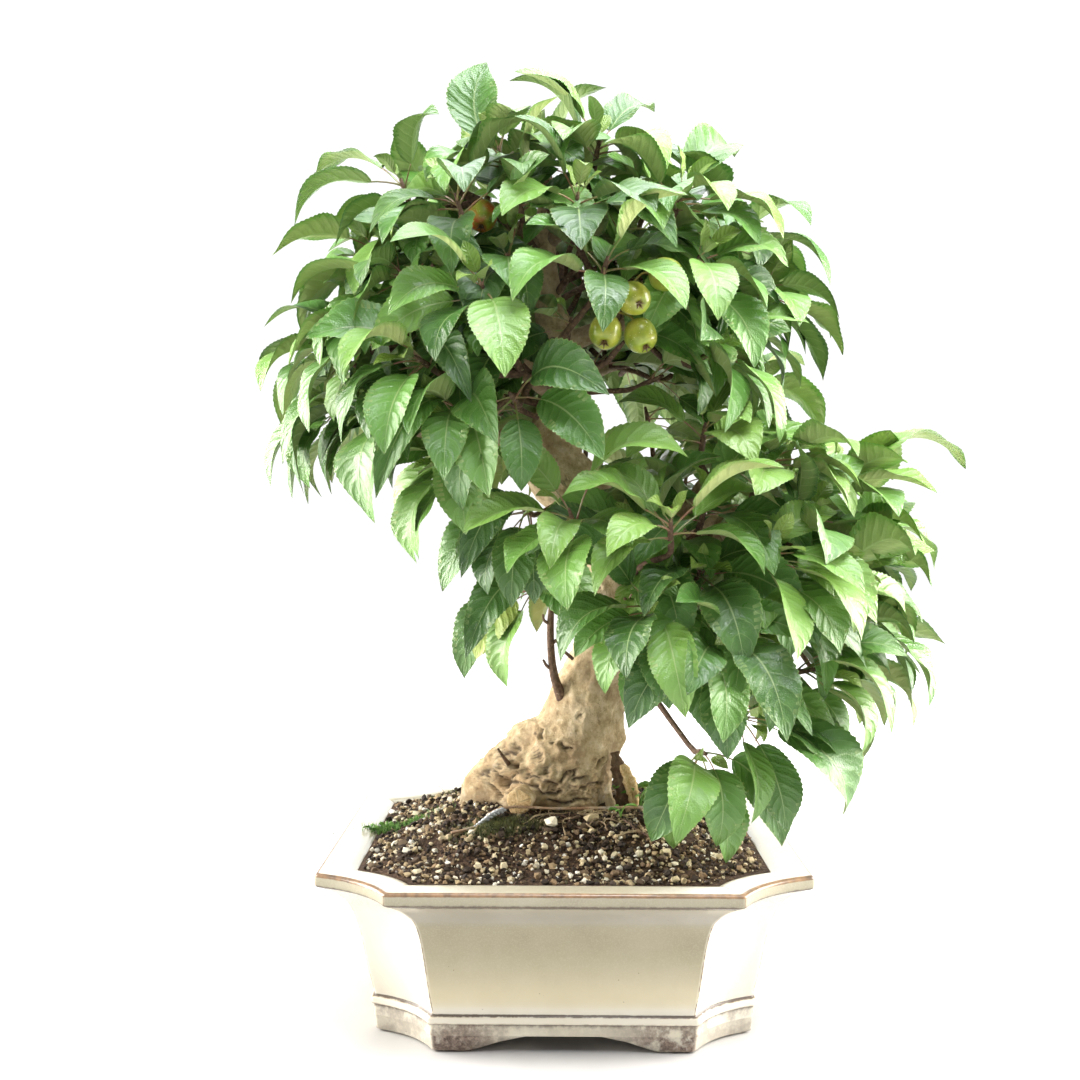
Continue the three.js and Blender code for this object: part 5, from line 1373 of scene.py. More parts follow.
def add_apple(skin, centre, way, blush):
    """An apple with its dry calyx, its stalk end turned towards way."""
    side = unit(np.cross(way, (0.3, 1, 0)))
    front = np.cross(way, side)
    profile = corner_cut(APPLE_PROFILE)
    profile = profile[np.linspace(0, len(profile) - 1, APPLE_ROWS).round().astype(int)]
    angles = ring_angles(APPLE_SIDES)
    (five, fives), (two, twos) = APPLE_LOBES
    lobes = 1 + five * np.cos(fives * angles) + two * np.cos(twos * angles + centre[0])
    out = np.maximum(profile[:, :1], APPLE_TIP) * lobes * APPLE_RADIUS
    rise = profile[:, 1:] * APPLE_RADIUS
    points = centre + out[:, :, None] * spokes(side, front, APPLE_SIDES) + rise[:, :, None] * way
    heights = np.repeat(profile[:, 1], APPLE_SIDES)
    dry = bell(np.repeat(profile[:, 0], APPLE_SIDES), DRY_SPREAD) * (heights < 0)
    skin.add(points, tube_faces(APPLE_ROWS, APPLE_SIDES), blush=blush, dry=dry, height=heights)
    add_calyx(skin, centre, way, side, front)


def add_stalk(skin, end, tip, place, way):
    """The thin stalk from a spur to one apple."""
    over, under = (place + way * APPLE_RADIUS * reach for reach in (STALK_OVER, STALK_END))
    start = lerp(end, tip, STALK_FROM)
    path = curve_points([start, lerp(tip, over, STALK_KNEE), over, under], STALK_RINGS)
    swell = STALK_SWELL * bell(np.linspace(0, 1, STALK_RINGS), STALK_SWELL_SHARE)
    rows = np.column_stack([path, STALK_RADIUS * (1 + swell)])
    skin.limb(rows, STALK_SIDES, blush=0.3, dry=0.35, height=0.5)


def build_fruit():
    look = apple_look()
    for node, end, axis, apples, blush in FRUITS:
        skin = Skin()
        end, axis = np.array(end, float), unit(np.array(axis, float))
        tip = end + axis * FRUIT_SPUR
        spur = np.column_stack([[end - axis * SPUR_SUNK, end, tip], SPUR_RADII])
        skin.limb(curve_points(spur, SPUR_RINGS), SPUR_SIDES, blush=0, dry=1, height=0)
        for place in np.array(apples, float):
            way = unit(unit(end - place) + UP * STALK_LIFT)
            add_stalk(skin, end, tip, place, way)
            add_apple(skin, place, way, blush)
        skin.piece(node.replace("fruit", "crabapple"), look, "crabapple", [node])


# ---------------------------------------------------------------- where the leaves are

# Leaf rosettes: x, y, z and the number of leaves.
SHOOTS = [
    (-128, -20, 652, 7), (-79, -84, 622, 7), (-50, -36, 672, 7), (10, -92, 620, 7), (28, -30, 680, 7),
    (90, -60, 632, 7), (136, -6, 616, 7), (-154, -6, 604, 7), (-122, -78, 570, 7), (-57, -128, 548, 7),
    (30, -118, 568, 7), (98, -88, 576, 7), (162, -14, 572, 7), (-160, -64, 522, 7), (-190, 6, 520, 7),
    (-104, -116, 500, 7), (112, -84, 510, 7), (-178, -40, 474, 7), (-132, -80, 468, 7),
    (-80, -106, 462, 7), (-38, -122, 474, 7), (-92, -24, 432, 7), (-20, 8, 686, 7),
    (-64, 60, 656, 7), (62, 64, 632, 7), (-130, 80, 606, 7), (134, 88, 590, 7), (0, 128, 606, 7),
    (-88, 140, 534, 7), (66, 140, 530, 7), (-176, 76, 496, 7), (164, 78, 506, 7),
    (4, -112, 392, 7), (74, -130, 384, 7), (106, -66, 456, 7), (160, -66, 436, 7), (214, -22, 418, 7),
    (146, -112, 362, 7), (244, 14, 388, 7), (208, -70, 340, 7), (238, -14, 304, 7), (62, -112, 326, 7),
    (112, -116, 300, 7), (134, -90, 240, 7), (104, -92, 214, 6), (240, 40, 262, 7), (188, -66, 272, 7),
    (-30, -52, 392, 7), (-26, -38, 330, 6),
    (84, 88, 402, 9), (186, 88, 384, 9), (138, 104, 308, 9),
]
# Leaves aimed one by one: shoot, leaf, the bow of the path and its tip.
AIMED = {
    (2, 4): ((-84, -6, 702), (-61, -4, 751)), (0, 5): ((-158, -14, 688), (-200, -2, 664)),
    (14, 5): ((-222, 2, 534), (-246, -4, 492)), (36, 1): ((262, -14, 462), (323, -8, 425)),
    (32, 1): ((22, -132, 456), (86, -134, 428)), (43, 0): ((188, -110, 234), (204, -92, 168)),
    (46, 3): ((214, -98, 300), (236, -104, 232)), (44, 1): ((80, -124, 208), (62, -116, 156)),
    (44, 5): ((114, -132, 206), (108, -120, 154)), (48, 0): ((-52, -52, 322), (-68, -44, 276)),
}
# What shoots grow away from, in the crown and in the tier: x, y, and the heights of its foot and top.
CROWN_HEART, TIER_HEART = (-8, 20, 430, 690), (84, 10, 230, 460)
TIER_SPLIT = 480
# How steeply a shoot rises, in degrees, at its heart's foot and top.
RISE_LOW, RISE_HIGH = 8, 72
SHOOT_LENGTH = 18
# Leaves go round a shoot in a spiral of degrees, each on the nearest of three sides.
SPIRAL, SPIRAL_SHIFT, SHOOT_SIDES = 137.5, 61, 3
# How far a shoot's first and last leaves spread from its axis, in degrees, and lean away from the tree.
SPREAD_OLD, SPREAD_YOUNG, OUT_PULL = 86, 48, 0.4
# How much leaves sag, low and high on the tree, and less towards the right.
SAG_LOW, SAG_HIGH, SAG_LEAN, SAG_LEAN_WIDTH = 0.95, 0.48, 0.15, 240
# How the sag and the reach of single leaves vary.
HANG_RANGE, REACH_RANGE = (0.65, 1.35), (0.82, 1.12)
# Reach of a leaf with its stalk, and shares of it: where its bow is, half widths of slim and broad.
LEAF_REACH, LEAF_BOW, LEAF_SLIM, LEAF_BROAD = 84, 0.52, 0.205, 0.26
# The range of a leaf's stray sideways, and how far it rolls at most either way, in degrees.
YAW_JITTER, ROLL_MOST = 26, 24
# How far blades face away from the tree, low and high, and how short their way across may get.
FACE_OUT_LOW, FACE_OUT_HIGH, FACE_LOST = 1.5, 0.3, 0.2
# Youth of the leaves near a shoot's tip and, for most leaves, high on the tree, and where each starts.
TIP_YOUTH, TIP_YOUTH_FROM = 0.12, 0.6
TOP_YOUTH, TOP_YOUTH_FROM, TOP_YOUTH_CHANCE = 0.5, 0.72, 0.35
# Ways to bend a leaf aside, in degrees of yaw and pitch, of which the first that fits is taken.
BENDS = [
    (0, 0), (14, 0), (-14, 0), (0, -14), (0, 10), (27, -6), (-27, -6), (0, -28), (42, -8),
    (-42, -8), (0, 20), (58, -12), (-58, -12), (28, -36), (-28, -36), (80, 0), (-80, 0),
]
# The numbers of the hash from which the CAD source draws.
HASH_PRIMES = (374761393, 668265263, 974634777)
HASH_MIX = 1274126177
WORD = 0xFFFFFFFF
# A CAD leaf is known by its tip, which lies this near to a corner of its node.
TIP_MATCH = 0.5


def chance(*numbers):
    """A repeatable number from 0 to 1 for up to three whole numbers, as in the CAD source.

    The last of them tells one draw for a leaf from the others.
    """
    seed = 0
    for number, prime in zip(numbers, HASH_PRIMES):
        seed ^= ((number + 1) * prime) & WORD
    mixed = ((seed ^ (seed >> 13)) * HASH_MIX) & WORD
    return ((mixed ^ (mixed >> 16)) & WORD) / 2**32


def shoot_plan(index, x, y, z, leaf_count):
    """The lie of one leafy shoot."""
    heart = CROWN_HEART if z > TIER_SPLIT or x < 0 else TIER_HEART
    out = unit(np.array([x - heart[0], y - heart[1], 0.0]))
    height = float(smooth(heart[2], heart[3], z))
    rise = math.radians(lerp(RISE_LOW, RISE_HIGH, height))
    axis = out * math.cos(rise) + UP * math.sin(rise)
    side_a = unit(np.cross(axis, UP))
    return {
        "index": index, "leaf_count": leaf_count, "out": out, "axis": axis, "height": height,
        "end": np.array([x, y, z]) - axis * SHOOT_LENGTH, "side_a": side_a,
        "side_b": np.cross(axis, side_a),
        "sag": lerp(SAG_LOW, SAG_HIGH, height) - SAG_LEAN * x / SAG_LEAN_WIDTH,
        "face": unit(UP + out * lerp(FACE_OUT_LOW, FACE_OUT_HIGH, height)),
    }


def side_of(shoot, angle):
    """The way across a shoot at an angle round it."""
    return shoot["side_a"] * math.cos(angle) + shoot["side_b"] * math.sin(angle)


def leaf_row(i):
    """The row of a shoot's axis on which a leaf stands, two to a row."""
    return 1 + i // 2


def leaf_age(shoot, i):
    """From 0 at the foot of a shoot to 1 at its tip."""
    return (i + 0.5) / shoot["leaf_count"]


def leaf_youth(shoot, i):
    """How fresh a leaf is."""
    tip = TIP_YOUTH * (leaf_age(shoot, i) > TIP_YOUTH_FROM)
    top = TOP_YOUTH * max(0.0, shoot["height"] - TOP_YOUTH_FROM)
    return tip + top * (chance(shoot["index"], i, 8) > TOP_YOUTH_CHANCE)


def stalk_way(shoot, i, yaw, pitch):
    """The way in which a leaf leaves its shoot, bent aside by degrees of yaw and pitch."""
    shift = (leaf_row(i) % 2) / 2
    turns = (SPIRAL * i + SPIRAL_SHIFT * shoot["index"]) / 360
    angle = (math.floor(turns * SHOOT_SIDES - shift) + 0.5 + shift) * 2 * math.pi / SHOOT_SIDES
    spread = math.radians(lerp(SPREAD_OLD, SPREAD_YOUNG, leaf_age(shoot, i)))
    way = shoot["axis"] * math.cos(spread) + side_of(shoot, angle) * math.sin(spread)
    way = unit(way + shoot["out"] * OUT_PULL)
    way = turned(way, unit(np.cross(way, UP)), math.radians(pitch))
    return turned(way, UP, math.radians(yaw + YAW_JITTER * (chance(shoot["index"], i, 1) - 0.5)))


def leaf_plan(shoot, i, yaw, pitch):
    """One leaf: its root, bow and tip, half width, roll and the way that its blade faces."""
    key = shoot["index"], i
    rows = leaf_row(shoot["leaf_count"] - 1) + 1
    root = shoot["end"] + shoot["axis"] * SHOOT_LENGTH * leaf_row(i) / rows
    way = stalk_way(shoot, i, yaw, pitch)
    reach = LEAF_REACH * lerp(*REACH_RANGE, chance(*key, 2))
    hang = shoot["sag"] * lerp(*HANG_RANGE, chance(*key, 3))
    bow, tip = root + way * reach * LEAF_BOW, root + unit(way - UP * hang) * reach
    half = reach * lerp(LEAF_SLIM, LEAF_BROAD, chance(*key, 4))
    roll = math.radians(ROLL_MOST * (2 * chance(*key, 5) - 1))
    if key in AIMED:
        bow, tip = (np.array(place, float) for place in AIMED[key])
        half, roll = LEAF_BROAD * np.linalg.norm(tip - root), 0.0
    return {"root": root, "bow": bow, "tip": tip, "half": half, "roll": roll, "face": shoot["face"],
            "young": leaf_youth(shoot, i), "key": key}


def cad_leaf(shoot, i, corners):
    """The leaf as the CAD source bent it, or None where the source left it out."""
    for bend in BENDS:
        plan = leaf_plan(shoot, i, *bend)
        if np.min(np.linalg.norm(corners - plan["tip"], axis=1)) < TIP_MATCH:
            return plan
    return None


# ---------------------------------------------------------------- more leaves than the CAD has

# Leaves take up cells of this size, and a further leaf may meet this many that are taken.
CELL, MOST_MET = 6.5, 2
# Where a leaf is looked at for that: shares of its length, half widths there, and share of those.
SAMPLE_SHARES = np.linspace(0.28, 0.97, 8)
SAMPLE_WIDTHS, SAMPLE_EDGE = np.array([0.5, 0.9, 1, 0.95, 0.8, 0.6, 0.35, 0.1])[:, None], 0.8
# A further leaf keeps this far inside the CAD's box.
BOX_MARGIN = 2
# Further shoots: how many are tried, the number of the first, their leaves at most and at least, how
# many places are tried for each, and the least distance between two shoots.
EXTRA_SHOOTS, EXTRA_FIRST, EXTRA_LEAVES, LEAST_LEAVES = 100, 100, 6, 2
CANDIDATES, SHOOT_SPACING = 90, 24
# They grow in egg-shaped regions, but for a core: middle and half widths, and the crown's share.
CROWN_EGG, TIER_EGG = ((-8, 20, 560), (158, 124, 104)), ((130, 0, 348), (108, 112, 88))
CROWN_SHARE, EGG_CORE = 0.66, 0.5
# Small fresh leaves at a shoot's tip: how many at least, how far into it they start, their reach,
# and the angle from one to the next in radians.
TIP_LEAVES, TIP_SUNK, TIP_REACH, TIP_TURN = 2, 1, (24, 40), 2.4
# How far their stalks and tips lean aside, and the tips also away from the tree.
TIP_STALK_LEAN, TIP_LEAN, TIP_PULL = 0.55, 0.9, 0.3
# Their bow and half width as shares of the reach, their youth, and the number of the first.
TIP_BOW, TIP_HALF, TIP_FRESHNESS, TIP_FIRST = 0.6, 0.2, 0.75, 40
# Boxes that further leaves keep out of, so that trunk, fruit and gaps show: low and high corners.
CLEAR_BOXES = [
    ((-62, -300, 160), (46, 6, 345)), ((-52, -300, 404), (30, 0, 470)),
    ((16, -300, 440), (86, 300, 497)), ((12, -300, 492), (90, -96, 578)),
    ((-26, -300, 480), (10, -80, 514)), ((-78, -300, 598), (-46, -46, 630)),
    ((-12, -300, 545), (22, -16, 590)), ((-300, -300, 0), (-40, 300, 392)),
    ((-300, -300, 0), (400, 300, 196)),
]


def frame_rows(plan, t):
    """The path of a leaf at shares t of its length: points, ways across and ways up."""
    root, bow, tip = plan["root"], plan["bow"], plan["tip"]
    t = np.asarray(t, float)[:, None]
    points = (1 - t) ** 2 * root + 2 * t * (1 - t) * bow + t**2 * tip
    tangents = unit((1 - t) * (bow - root) + t * (tip - bow))
    chord = unit(tip - root)
    side = np.cross(chord, plan["face"])
    if np.linalg.norm(side) < FACE_LOST:
        side = np.cross(chord, UP)
    side = turned(side, chord, plan["roll"])
    across = unit(side - tangents * (tangents @ side)[:, None])
    return points, across, np.cross(across, tangents)


def leaf_samples(plan):
    """Points along the middle and both margins of a blade."""
    points, across, _ = frame_rows(plan, SAMPLE_SHARES)
    edge = across * plan["half"] * SAMPLE_WIDTHS * SAMPLE_EDGE
    return np.concatenate([points - edge, points, points + edge])


def cells_of(points):
    return {tuple(cell) for cell in np.floor(points / CELL).astype(int)}


def is_clear(samples):
    """Whether a leaf keeps inside the CAD box and out of the clear boxes."""
    low, high = ((np.array(corner) - ORIGIN_M) / MM for corner in CAD_BOX_M)
    if (samples < low + BOX_MARGIN).any() or (samples > high - BOX_MARGIN).any():
        return False
    return not any(((samples > np.array(a)) & (samples < np.array(b))).all(axis=1).any()
                   for a, b in CLEAR_BOXES)


def fit_leaf(shoot, i, taken):
    """The first bend of a further leaf that is clear and meets few others, or None."""
    for bend in BENDS:
        plan = leaf_plan(shoot, i, *bend)
        samples = leaf_samples(plan)
        cells = cells_of(samples)
        if is_clear(samples) and len(cells & taken) <= MOST_MET:
            taken |= cells
            return plan
    return None


def young_leaf(shoot, k):
    """A small fresh leaf at the shoot's tip."""
    index, axis = shoot["index"], shoot["axis"]
    side = side_of(shoot, TIP_TURN * k + index)
    reach = lerp(*TIP_REACH, chance(index, k, 11))
    root = shoot["end"] + axis * (SHOOT_LENGTH - TIP_SUNK)
    bow = root + unit(axis + side * TIP_STALK_LEAN) * reach * TIP_BOW
    tip = root + unit(axis + side * TIP_LEAN + shoot["out"] * TIP_PULL) * reach
    return {"root": root, "bow": bow, "tip": tip, "half": reach * TIP_HALF, "roll": 0.0,
            "face": unit(shoot["face"] + axis - side * TIP_LEAN), "young": TIP_FRESHNESS,
            "key": (index, TIP_FIRST + k)}


def extra_places():
    """Places for further shoots: each the candidate that lies furthest from all the others."""
    random = np.random.default_rng(47)
    places = [np.array(shoot[:3], float) for shoot in SHOOTS]
    for k in range(EXTRA_SHOOTS):
        centre, half = CROWN_EGG if k < EXTRA_SHOOTS * CROWN_SHARE else TIER_EGG
        ways = unit(random.normal(0, 1, (CANDIDATES, 3)))
        radii = random.uniform(EGG_CORE**2, 1, (CANDIDATES, 1)) ** 0.5
        candidates = centre + ways * radii * np.array(half)
        gaps = np.min(np.linalg.norm(candidates[:, None] - np.array(places)[None], axis=2), axis=1)
        if gaps.max() > SHOOT_SPACING:
            places.append(candidates[np.argmax(gaps)])
    return places[len(SHOOTS):]


def nearest_shoot(place):
    """The number of the CAD's shoot that lies nearest to a place."""
    return min(range(len(SHOOTS)), key=lambda k: np.linalg.norm(place - np.array(SHOOTS[k][:3])))


def node_corners(k):
    """The corners of a leafy shoot's node, in the script's own units."""
    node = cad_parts[f"leafy_shoot_{k + 1:02d}"]
    corners = np.array([v.co for v in node.data.vertices])
    return (np.unique(corners.round(6), axis=0) - ORIGIN_M) / MM


def add_cad_leaves(shoots, groups, taken):
    """The leaves of the CAD's shoots, and others where its source left one out."""
    for k, shoot in enumerate(shoots):
        corners = node_corners(k)
        for i in range(shoot["leaf_count"]):
            plan = cad_leaf(shoot, i, corners) or fit_leaf(shoot, i, taken)
            if plan:
                taken |= cells_of(leaf_samples(plan))
                groups[k].append(plan)


def add_extra_leaves(shoots, groups, taken):
    """Further shoots, with as many leaves as there is room for."""
    for k, place in enumerate(extra_places()):
        shoot = shoot_plan(EXTRA_FIRST + k, *place, EXTRA_LEAVES)
        plans = [fit_leaf(shoot, i, taken) for i in range(EXTRA_LEAVES)]
        plans = [plan for plan in plans if plan]
        if len(plans) >= LEAST_LEAVES:
            groups[nearest_shoot(place)] += plans
            shoots.append(shoot)


def add_tip_leaves(shoots, groups):
    for shoot in shoots:
        group = groups[nearest_shoot(shoot["end"] + shoot["axis"] * SHOOT_LENGTH)]
        for k in range(TIP_LEAVES + shoot["index"] % 2):
            plan = young_leaf(shoot, k)
            if is_clear(leaf_samples(plan)):
                group.append(plan)


def all_leaves():
    """Every shoot, and the list of leaves for each of the CAD's shoots and its near neighbours."""
    shoots = [shoot_plan(k, *row) for k, row in enumerate(SHOOTS)]
    groups, taken = [[] for _ in shoots], set()
    add_cad_leaves(shoots, groups, taken)
    add_extra_leaves(shoots, groups, taken)
    add_tip_leaves(shoots, groups)
    return shoots, groups


# ---------------------------------------------------------------- the shape of a leaf

# The share of a leaf's length at which its stalk ends and its blade starts.
BLADE_START = 0.27
# Leaves that have turned: shoot and leaf.
YELLOWED = {(48, 0)}
# Shoots on top of the tier, whose leaves are painted a lighter, fresher green as painted light from above,
# and by how much.
LIT_TIER_SHOOTS = range(32, 40)
LIT_TONE, LIT_YOUTH = 0.5, 0.18
# Teeth along a margin, and how many would fill it. The notch after each lies a share of the way to
# the next, and cuts in by a share of the half width.
TEETH, TEETH_SPAN, NOTCH_PLACE, NOTCH_DEPTH = 20, 20.2, 0.3, 0.06
# The first and last rows of a blade's points, as shares of its length.
FIRST_SHARE, LAST_SHARE = 0.004, 0.998
# The columns of points, as shares of the half width.
COLUMNS, MARGINS = np.array([-1, -0.55, 0, 0.55, 1]), np.array([-1, 1])
# A blade's half width: powers of its outline, its greatest value, and a share of the plan's.
OUTLINE_TIP, OUTLINE_POINT, OUTLINE_MOST, WIDENED = 2.2, 1.1, 0.545, 0.97
BLADE_THICKNESS = 0.45
# The rib below a blade: its depth, its width, and how it fades towards the tip. There the whole
# thickness runs out, the faster the larger the last number is.
RIB_DEPTH, RIB_WIDTH, RIB_FADE, TIP_TAPER = 0.55, 0.2, 1.25, 12
# How steeply the halves of a blade are folded up, how that varies, how much flatter it is towards
# the margins, and how far it draws them in.
FOLD_RISE, FOLD_RANGE, FOLD_EASE, FOLD_PULL = 0.48, (0.55, 1.25), 0.3, 0.8
# How far a blade arches up between its two ends, as a share of its length, how that varies, and the
# power that moves its top towards the tip.
ARCH_RISE, ARCH_RANGE, ARCH_LEAN = 0.085, (0.2, 1.5), 1.25
# The range of a blade's twist from its foot to its tip, in degrees.
BLADE_TWIST = 26
# Waves along the margins: their height, how that and their number vary, the shift from side to side.
WAVE_RISE, WAVE_RANGE, WAVE_BEATS, WAVE_SHIFT = 0.1, (0.3, 1.2), (1.2, 2.6), 0.27
# The blade is quilted between its veins: how far, how many pairs of veins, how they lean.
QUILT_RISE, VEIN_PAIRS, VEIN_LEAN = 0.02, 8.0, 0.2
# A leaf's stalk: how far it laps into the blade, its radius at shares of the leaf's length, and the
# half width of a blade from which on it is that thick.
STALK_LAP, FULL_STALK_HALF = 0.02, 14
LEAF_STALK_RADII = [0, 0.04, BLADE_START], [1.15, 0.75, 0.62]
LEAF_STALK_RINGS, LEAF_STALK_SIDES = 5, 4
# Edges that turn by more degrees than this are shaded sharp.
MARGIN_ANGLE = 75


def outline(s):
    """Half width of a blade at shares s of its length, as a share of its widest."""
    return np.sqrt(s) * (1 - s**OUTLINE_TIP) ** OUTLINE_POINT / OUTLINE_MOST


def blade_shares():
    """Shares of the blade's length: at its rows, which each end in a tooth, and at the notches."""
    tooth = (np.arange(TEETH) + 1) / TEETH_SPAN
    return np.concatenate([[FIRST_SHARE], tooth, [LAST_SHARE]]), tooth[:-1] + NOTCH_PLACE / TEETH


ROW_SHARES, NOTCH_SHARES = blade_shares()


def strips(side):
    """The quads between neighbouring rows and columns of points."""
    return np.stack([side[:-1, :-1], side[:-1, 1:], side[1:, 1:], side[1:, :-1]], axis=-1).reshape(-1, 4)


def toothed_faces(side, notches):
    """One side of a blade, whose margins have a notch between each two teeth."""
    low, high = side[1:-2], side[2:-1]
    left, right = notches.T
    quads = [strips(side[:, 1:-1])]
    for ends in (side[:2], side[-2:]):
        quads += [strips(ends[:, :2]), strips(ends[:, -2:])]
    quads.append(np.column_stack([left, low[:, 1], high[:, 1], high[:, 0]]))
    quads.append(np.column_stack([low[:, -2], right, high[:, -1], high[:, -2]]))
    teeth = [np.column_stack([low[:, 0], low[:, 1], left]),
             np.column_stack([low[:, -2], low[:, -1], right])]
    return [np.concatenate(quads), np.concatenate(teeth)]


def blade_faces():
    """The faces of a closed blade: points of the top, the underside's inner columns, the notches."""
    rows, columns = len(ROW_SHARES), len(COLUMNS)
    top = np.arange(rows * columns).reshape(rows, columns)
    inner = top.size + np.arange(rows * (columns - 2)).reshape(rows, columns - 2)
    notches = top.size + inner.size + np.arange(2 * len(NOTCH_SHARES)).reshape(-1, 2)
    below = np.column_stack([top[:, 0], inner, top[:, -1]])
    upper = [block[:, ::-1] for block in toothed_faces(top, notches)]
    loops = [np.concatenate([top[k], below[k, -2:0:-1]]).reshape(1, -1) for k in (0, -1)]
    return upper + toothed_faces(below, notches) + [loops[0], loops[1][:, ::-1]]


def blade_line(plan, s):
    """The middle line of a blade at shares s of its length, with the ways across and up."""
    points, across, upward = frame_rows(plan, lerp(BLADE_START, 1, s))
    arch = ARCH_RISE * lerp(*ARCH_RANGE, chance(*plan["key"], 26)) * np.sin(np.pi * s**ARCH_LEAN)
    points = points + upward * arch[:, None] * np.linalg.norm(plan["tip"] - plan["root"])
    twist = math.radians(BLADE_TWIST * (chance(*plan["key"], 21) - 0.5)) * s[:, None]
    cos, sin = np.cos(twist), np.sin(twist)
    return points, across * cos + upward * sin, upward * cos - across * sin


def blade_waves(key, s, v):
    """How far the waves of the margins and the quilting between the veins lift a blade."""
    wave = WAVE_RISE * lerp(*WAVE_RANGE, chance(*key, 23))
    beats = lerp(*WAVE_BEATS, chance(*key, 24))
    phase = 2 * np.pi * (beats * s + chance(*key, 25) + WAVE_SHIFT * np.sign(v))
    veins = np.cos(2 * np.pi * VEIN_PAIRS * (s - VEIN_LEAN * np.abs(v)))
    quilt = QUILT_RISE * np.abs(v) * (1 - v**2) * veins
    return wave * v**2 * np.sin(phase) * np.sin(np.pi * s) ** 0.5 + quilt


def blade_top(plan, s, v, cut):
    """The upper side of a blade at shares s of its length and v of its half width, and the ways up."""
    points, across, upward = blade_line(plan, s)
    wide = (plan["half"] * WIDENED * outline(s) * (1 - cut))[:, None]
    fold = FOLD_RISE * lerp(*FOLD_RANGE, chance(*plan["key"], 22))
    rise = wide * fold * (np.abs(v) - FOLD_EASE * np.abs(v) ** 3)
    rise = rise + plan["half"] * blade_waves(plan["key"], s[:, None], v[None])
    reach = v * wide * math.cos(math.atan(fold) * FOLD_PULL)
    return points[:, None] + across[:, None] * reach[..., None] + upward[:, None] * rise[..., None], upward


def blade_points(plan):
    """The points of one blade, in the order that blade_faces takes them."""
    top, upward = blade_top(plan, ROW_SHARES, COLUMNS, 0)
    s = ROW_SHARES[:, None]
    rib = RIB_DEPTH * bell(COLUMNS, RIB_WIDTH) * (RIB_FADE - s)
    thick = (BLADE_THICKNESS / 2 * (1 - COLUMNS**4) + rib) * np.minimum(1, TIP_TAPER * (1 - s))
    below = top - upward[:, None] * thick[..., None]
    notches = blade_top(plan, NOTCH_SHARES, MARGINS, NOTCH_DEPTH)[0]
    return np.concatenate([part.reshape(-1, 3) for part in (top, below[:, 1:-1], notches)])


def stalk_points(plan):
    """Rings of points round a leaf's stalk."""
    t = np.linspace(0, BLADE_START + STALK_LAP, LEAF_STALK_RINGS)
    points, across, upward = frame_rows(plan, t)
    radii = np.interp(t, *LEAF_STALK_RADII) * min(1.0, plan["half"] / FULL_STALK_HALF)
    ways = spokes(across, upward, LEAF_STALK_SIDES)
    return (points[:, None] + ways * radii[:, None, None]).reshape(-1, 3)


def add_leaves(skin, plans):
    """The blades and stalks of some leaves, with their named values."""
    count = len(plans)
    blades = np.array([blade_points(plan) for plan in plans])
    size = blades.shape[1]
    parts = [(ROW_SHARES, COLUMNS, 0), (ROW_SHARES, COLUMNS[1:-1], 1), (NOTCH_SHARES, MARGINS, 0)]
    along = np.concatenate([np.repeat(s, len(v)) for s, v, _ in parts])
    beside = np.concatenate([np.tile(v, len(s)) for s, v, _ in parts])
    under = np.concatenate([np.full(len(s) * len(v), side) for s, v, side in parts])
    # Leaves on top of the tier are painted lighter, as painted light from above.
    fresh = np.array([plan["key"][0] in LIT_TIER_SHOOTS for plan in plans])
    tones = np.minimum(1, np.array([chance(*plan["key"], 31) for plan in plans]) + LIT_TONE * fresh)
    young = np.array([plan["young"] for plan in plans]) + LIT_YOUTH * fresh
    yellow = np.array([plan["key"] in YELLOWED for plan in plans])
    places = {"along": along, "beside": beside, "under": under}
    traits = {"tone": tones, "young": young, "yellow": yellow}
    skin.add(blades, repeated(blade_faces(), count, size), stalk=0,
             **{name: np.tile(value, count) for name, value in places.items()},
             **{name: np.repeat(value, size) for name, value in traits.items()})
    stalks = np.array([stalk_points(plan) for plan in plans])
    faces = repeated(tube_faces(LEAF_STALK_RINGS, LEAF_STALK_SIDES), count, stalks.shape[1])
    skin.add(stalks, faces, along=0, beside=0.5, under=0, tone=0.5, young=0, yellow=0, stalk=1)


# Pieces of foliage: name and the first and last shoot of the CAD that each stands for.
FOLIAGE = [
    ("crown_top_leaves", 1, 6), ("crown_left_leaves", 7, 11), ("crown_right_leaves", 12, 17),
    ("crown_low_leaves", 18, 23), ("crown_back_high_leaves", 24, 28), ("crown_back_low_leaves", 29, 32),
    ("tier_high_leaves", 33, 38), ("tier_right_leaves", 39, 43), ("tier_low_leaves", 44, 49),
    ("tier_back_leaves", 50, 52),
]


def build_foliage():
    look = leaf_look()
    shoots, groups = all_leaves()
    for name, first, last in FOLIAGE:
        skin = Skin()
        plans = [plan for group in groups[first - 1 : last] for plan in group]
        add_leaves(skin, plans)
        nodes = [f"leafy_shoot_{k:02d}" for k in range(first, last + 1)]
        foliage = skin.piece(name, look, "leaf", nodes)
        foliage.data.set_sharp_from_angle(angle=math.radians(MARGIN_ANGLE))
    return shoots


# ---------------------------------------------------------------- floor, light and camera

CAMERA_PLACE = (-6, -880, 394)
# How far the camera is turned to the left and looks down, in degrees.
CAMERA_YAW, CAMERA_PITCH = 0.82, 1.71
# Its lens is as long as its sensor is wide, in millimetres.
CAMERA_LENS, CAMERA_FAR_M = 36, 100
FLOOR_HALF_M = 30
# Where the floor starts to glow, to blend into the backdrop, and where it glows in full: how far
# behind the part, and how far away on any side.
BACK_GLOW_M, FAR_GLOW_M = (0.1, 1.1), (0.7, 1.7)
FLOOR_GLOW = 0.9
WORLD_LIGHT, WORLD_SHOWN = 0.24, 1.1
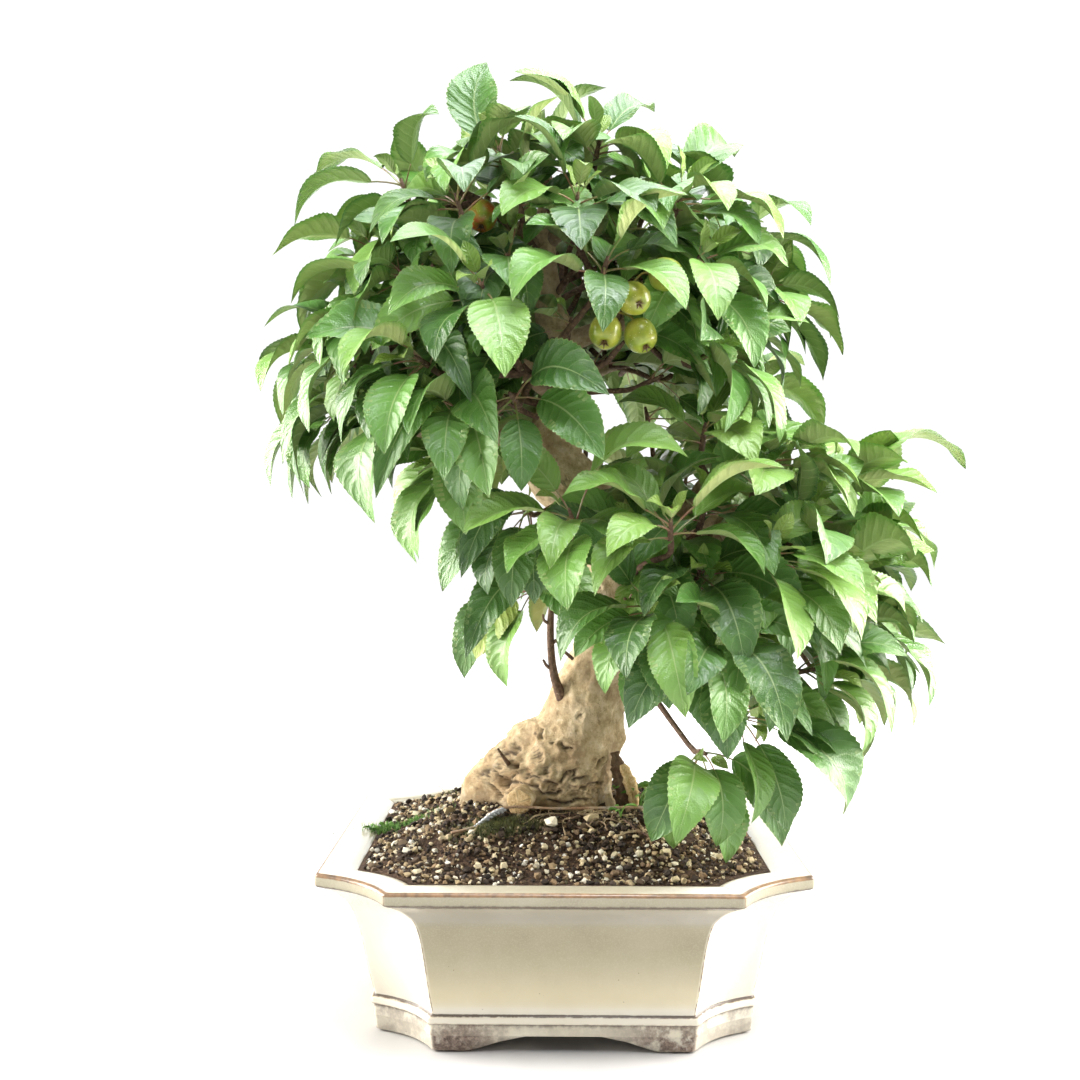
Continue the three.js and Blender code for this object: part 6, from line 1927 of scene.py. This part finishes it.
# Soft boxes: place, size across and up, power in watts, colour. Each looks at the tree's middle.
SOFT_BOXES = [
    ((-1350, 100, 640), (900, 1100), 55, "fffbf5"), ((1350, 80, 680), (900, 1100), 57, "fffbf5"),
    ((350, -480, 1800), (1200, 700), 44, "f6f8ff"), ((100, 500, 1800), (1400, 1000), 26, "f6f9ff"),
    ((100, 1500, 700), (1600, 900), 14, "ffffff"),
]
LIGHT_AIM = (30, 0, 380)


def in_metres(place):
    """A place of the script as a vector of the frame."""
    return Vector(np.array(place, float) * MM + ORIGIN_M)


def build_floor():
    look = Look("pale floor", Roughness=0.9)
    look.set("Base Color", look.ramp(look.noise(40, 3), (0.3, "c1c0be"), (0.7, "c5c4c2")))
    behind = look.node("ShaderNodeSeparateXYZ", {0: look.place}).outputs["Y"]
    away = look.node("ShaderNodeVectorMath", {0: look.place}, operation="LENGTH").outputs["Value"]
    glow = look.maths("MAXIMUM", look.range(behind, *BACK_GLOW_M), look.range(away, *FAR_GLOW_M))
    look.set("Emission Color", (1, 1, 1, 1))
    look.set("Emission Strength", look.times(glow, FLOOR_GLOW))
    bpy.ops.mesh.primitive_plane_add(size=2 * FLOOR_HALF_M, location=tuple(ORIGIN_M))
    floor = bpy.context.object
    floor.name = "floor"
    floor.data.materials.append(look.material)


def build_light():
    scene = bpy.context.scene
    scene.view_settings.view_transform = "Standard"
    scene.world = bpy.data.worlds.new("studio")
    scene.world.use_nodes = True
    tree = scene.world.node_tree
    background = tree.nodes["Background"]
    background.inputs["Color"].default_value = (1, 1, 1, 1)
    path = tree.nodes.new("ShaderNodeLightPath")
    strength = tree.nodes.new("ShaderNodeMapRange")
    strength.inputs["To Min"].default_value = WORLD_LIGHT
    strength.inputs["To Max"].default_value = WORLD_SHOWN
    tree.links.new(path.outputs["Is Camera Ray"], strength.inputs["Value"])
    tree.links.new(strength.outputs[0], background.inputs["Strength"])
    for k, (place, (wide, tall), watts, tint) in enumerate(SOFT_BOXES):
        lamp = bpy.data.lights.new(f"soft_box_{k}", "AREA")
        lamp.shape, lamp.size, lamp.size_y = "RECTANGLE", wide * MM, tall * MM
        lamp.energy, lamp.color = watts, colour(tint)[:3]
        box = bpy.data.objects.new(lamp.name, lamp)
        box.location = in_metres(place)
        box.rotation_euler = (in_metres(LIGHT_AIM) - box.location).to_track_quat("-Z", "Y").to_euler()
        scene.collection.objects.link(box)


def build_camera():
    lens = bpy.data.cameras.new("camera")
    lens.lens, lens.sensor_width = CAMERA_LENS, CAMERA_LENS
    lens.clip_end = CAMERA_FAR_M
    camera = bpy.data.objects.new("camera", lens)
    camera.location = in_metres(CAMERA_PLACE)
    camera.rotation_euler = (math.radians(90 - CAMERA_PITCH), 0, math.radians(CAMERA_YAW))
    bpy.context.scene.collection.objects.link(camera)
    bpy.context.scene.camera = camera


def main():
    build_camera()
    build_light()
    build_floor()
    build_pot()
    build_soil()
    build_grit()
    build_growth()
    build_wire()
    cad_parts["drain_mesh"].data.materials.clear()
    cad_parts["drain_mesh"].data.materials.append(mesh_look())
    bark = build_trunk()
    build_fruit()
    build_litter(bark)
    shoots = build_foliage()
    build_branches(bark, shoots)


main()
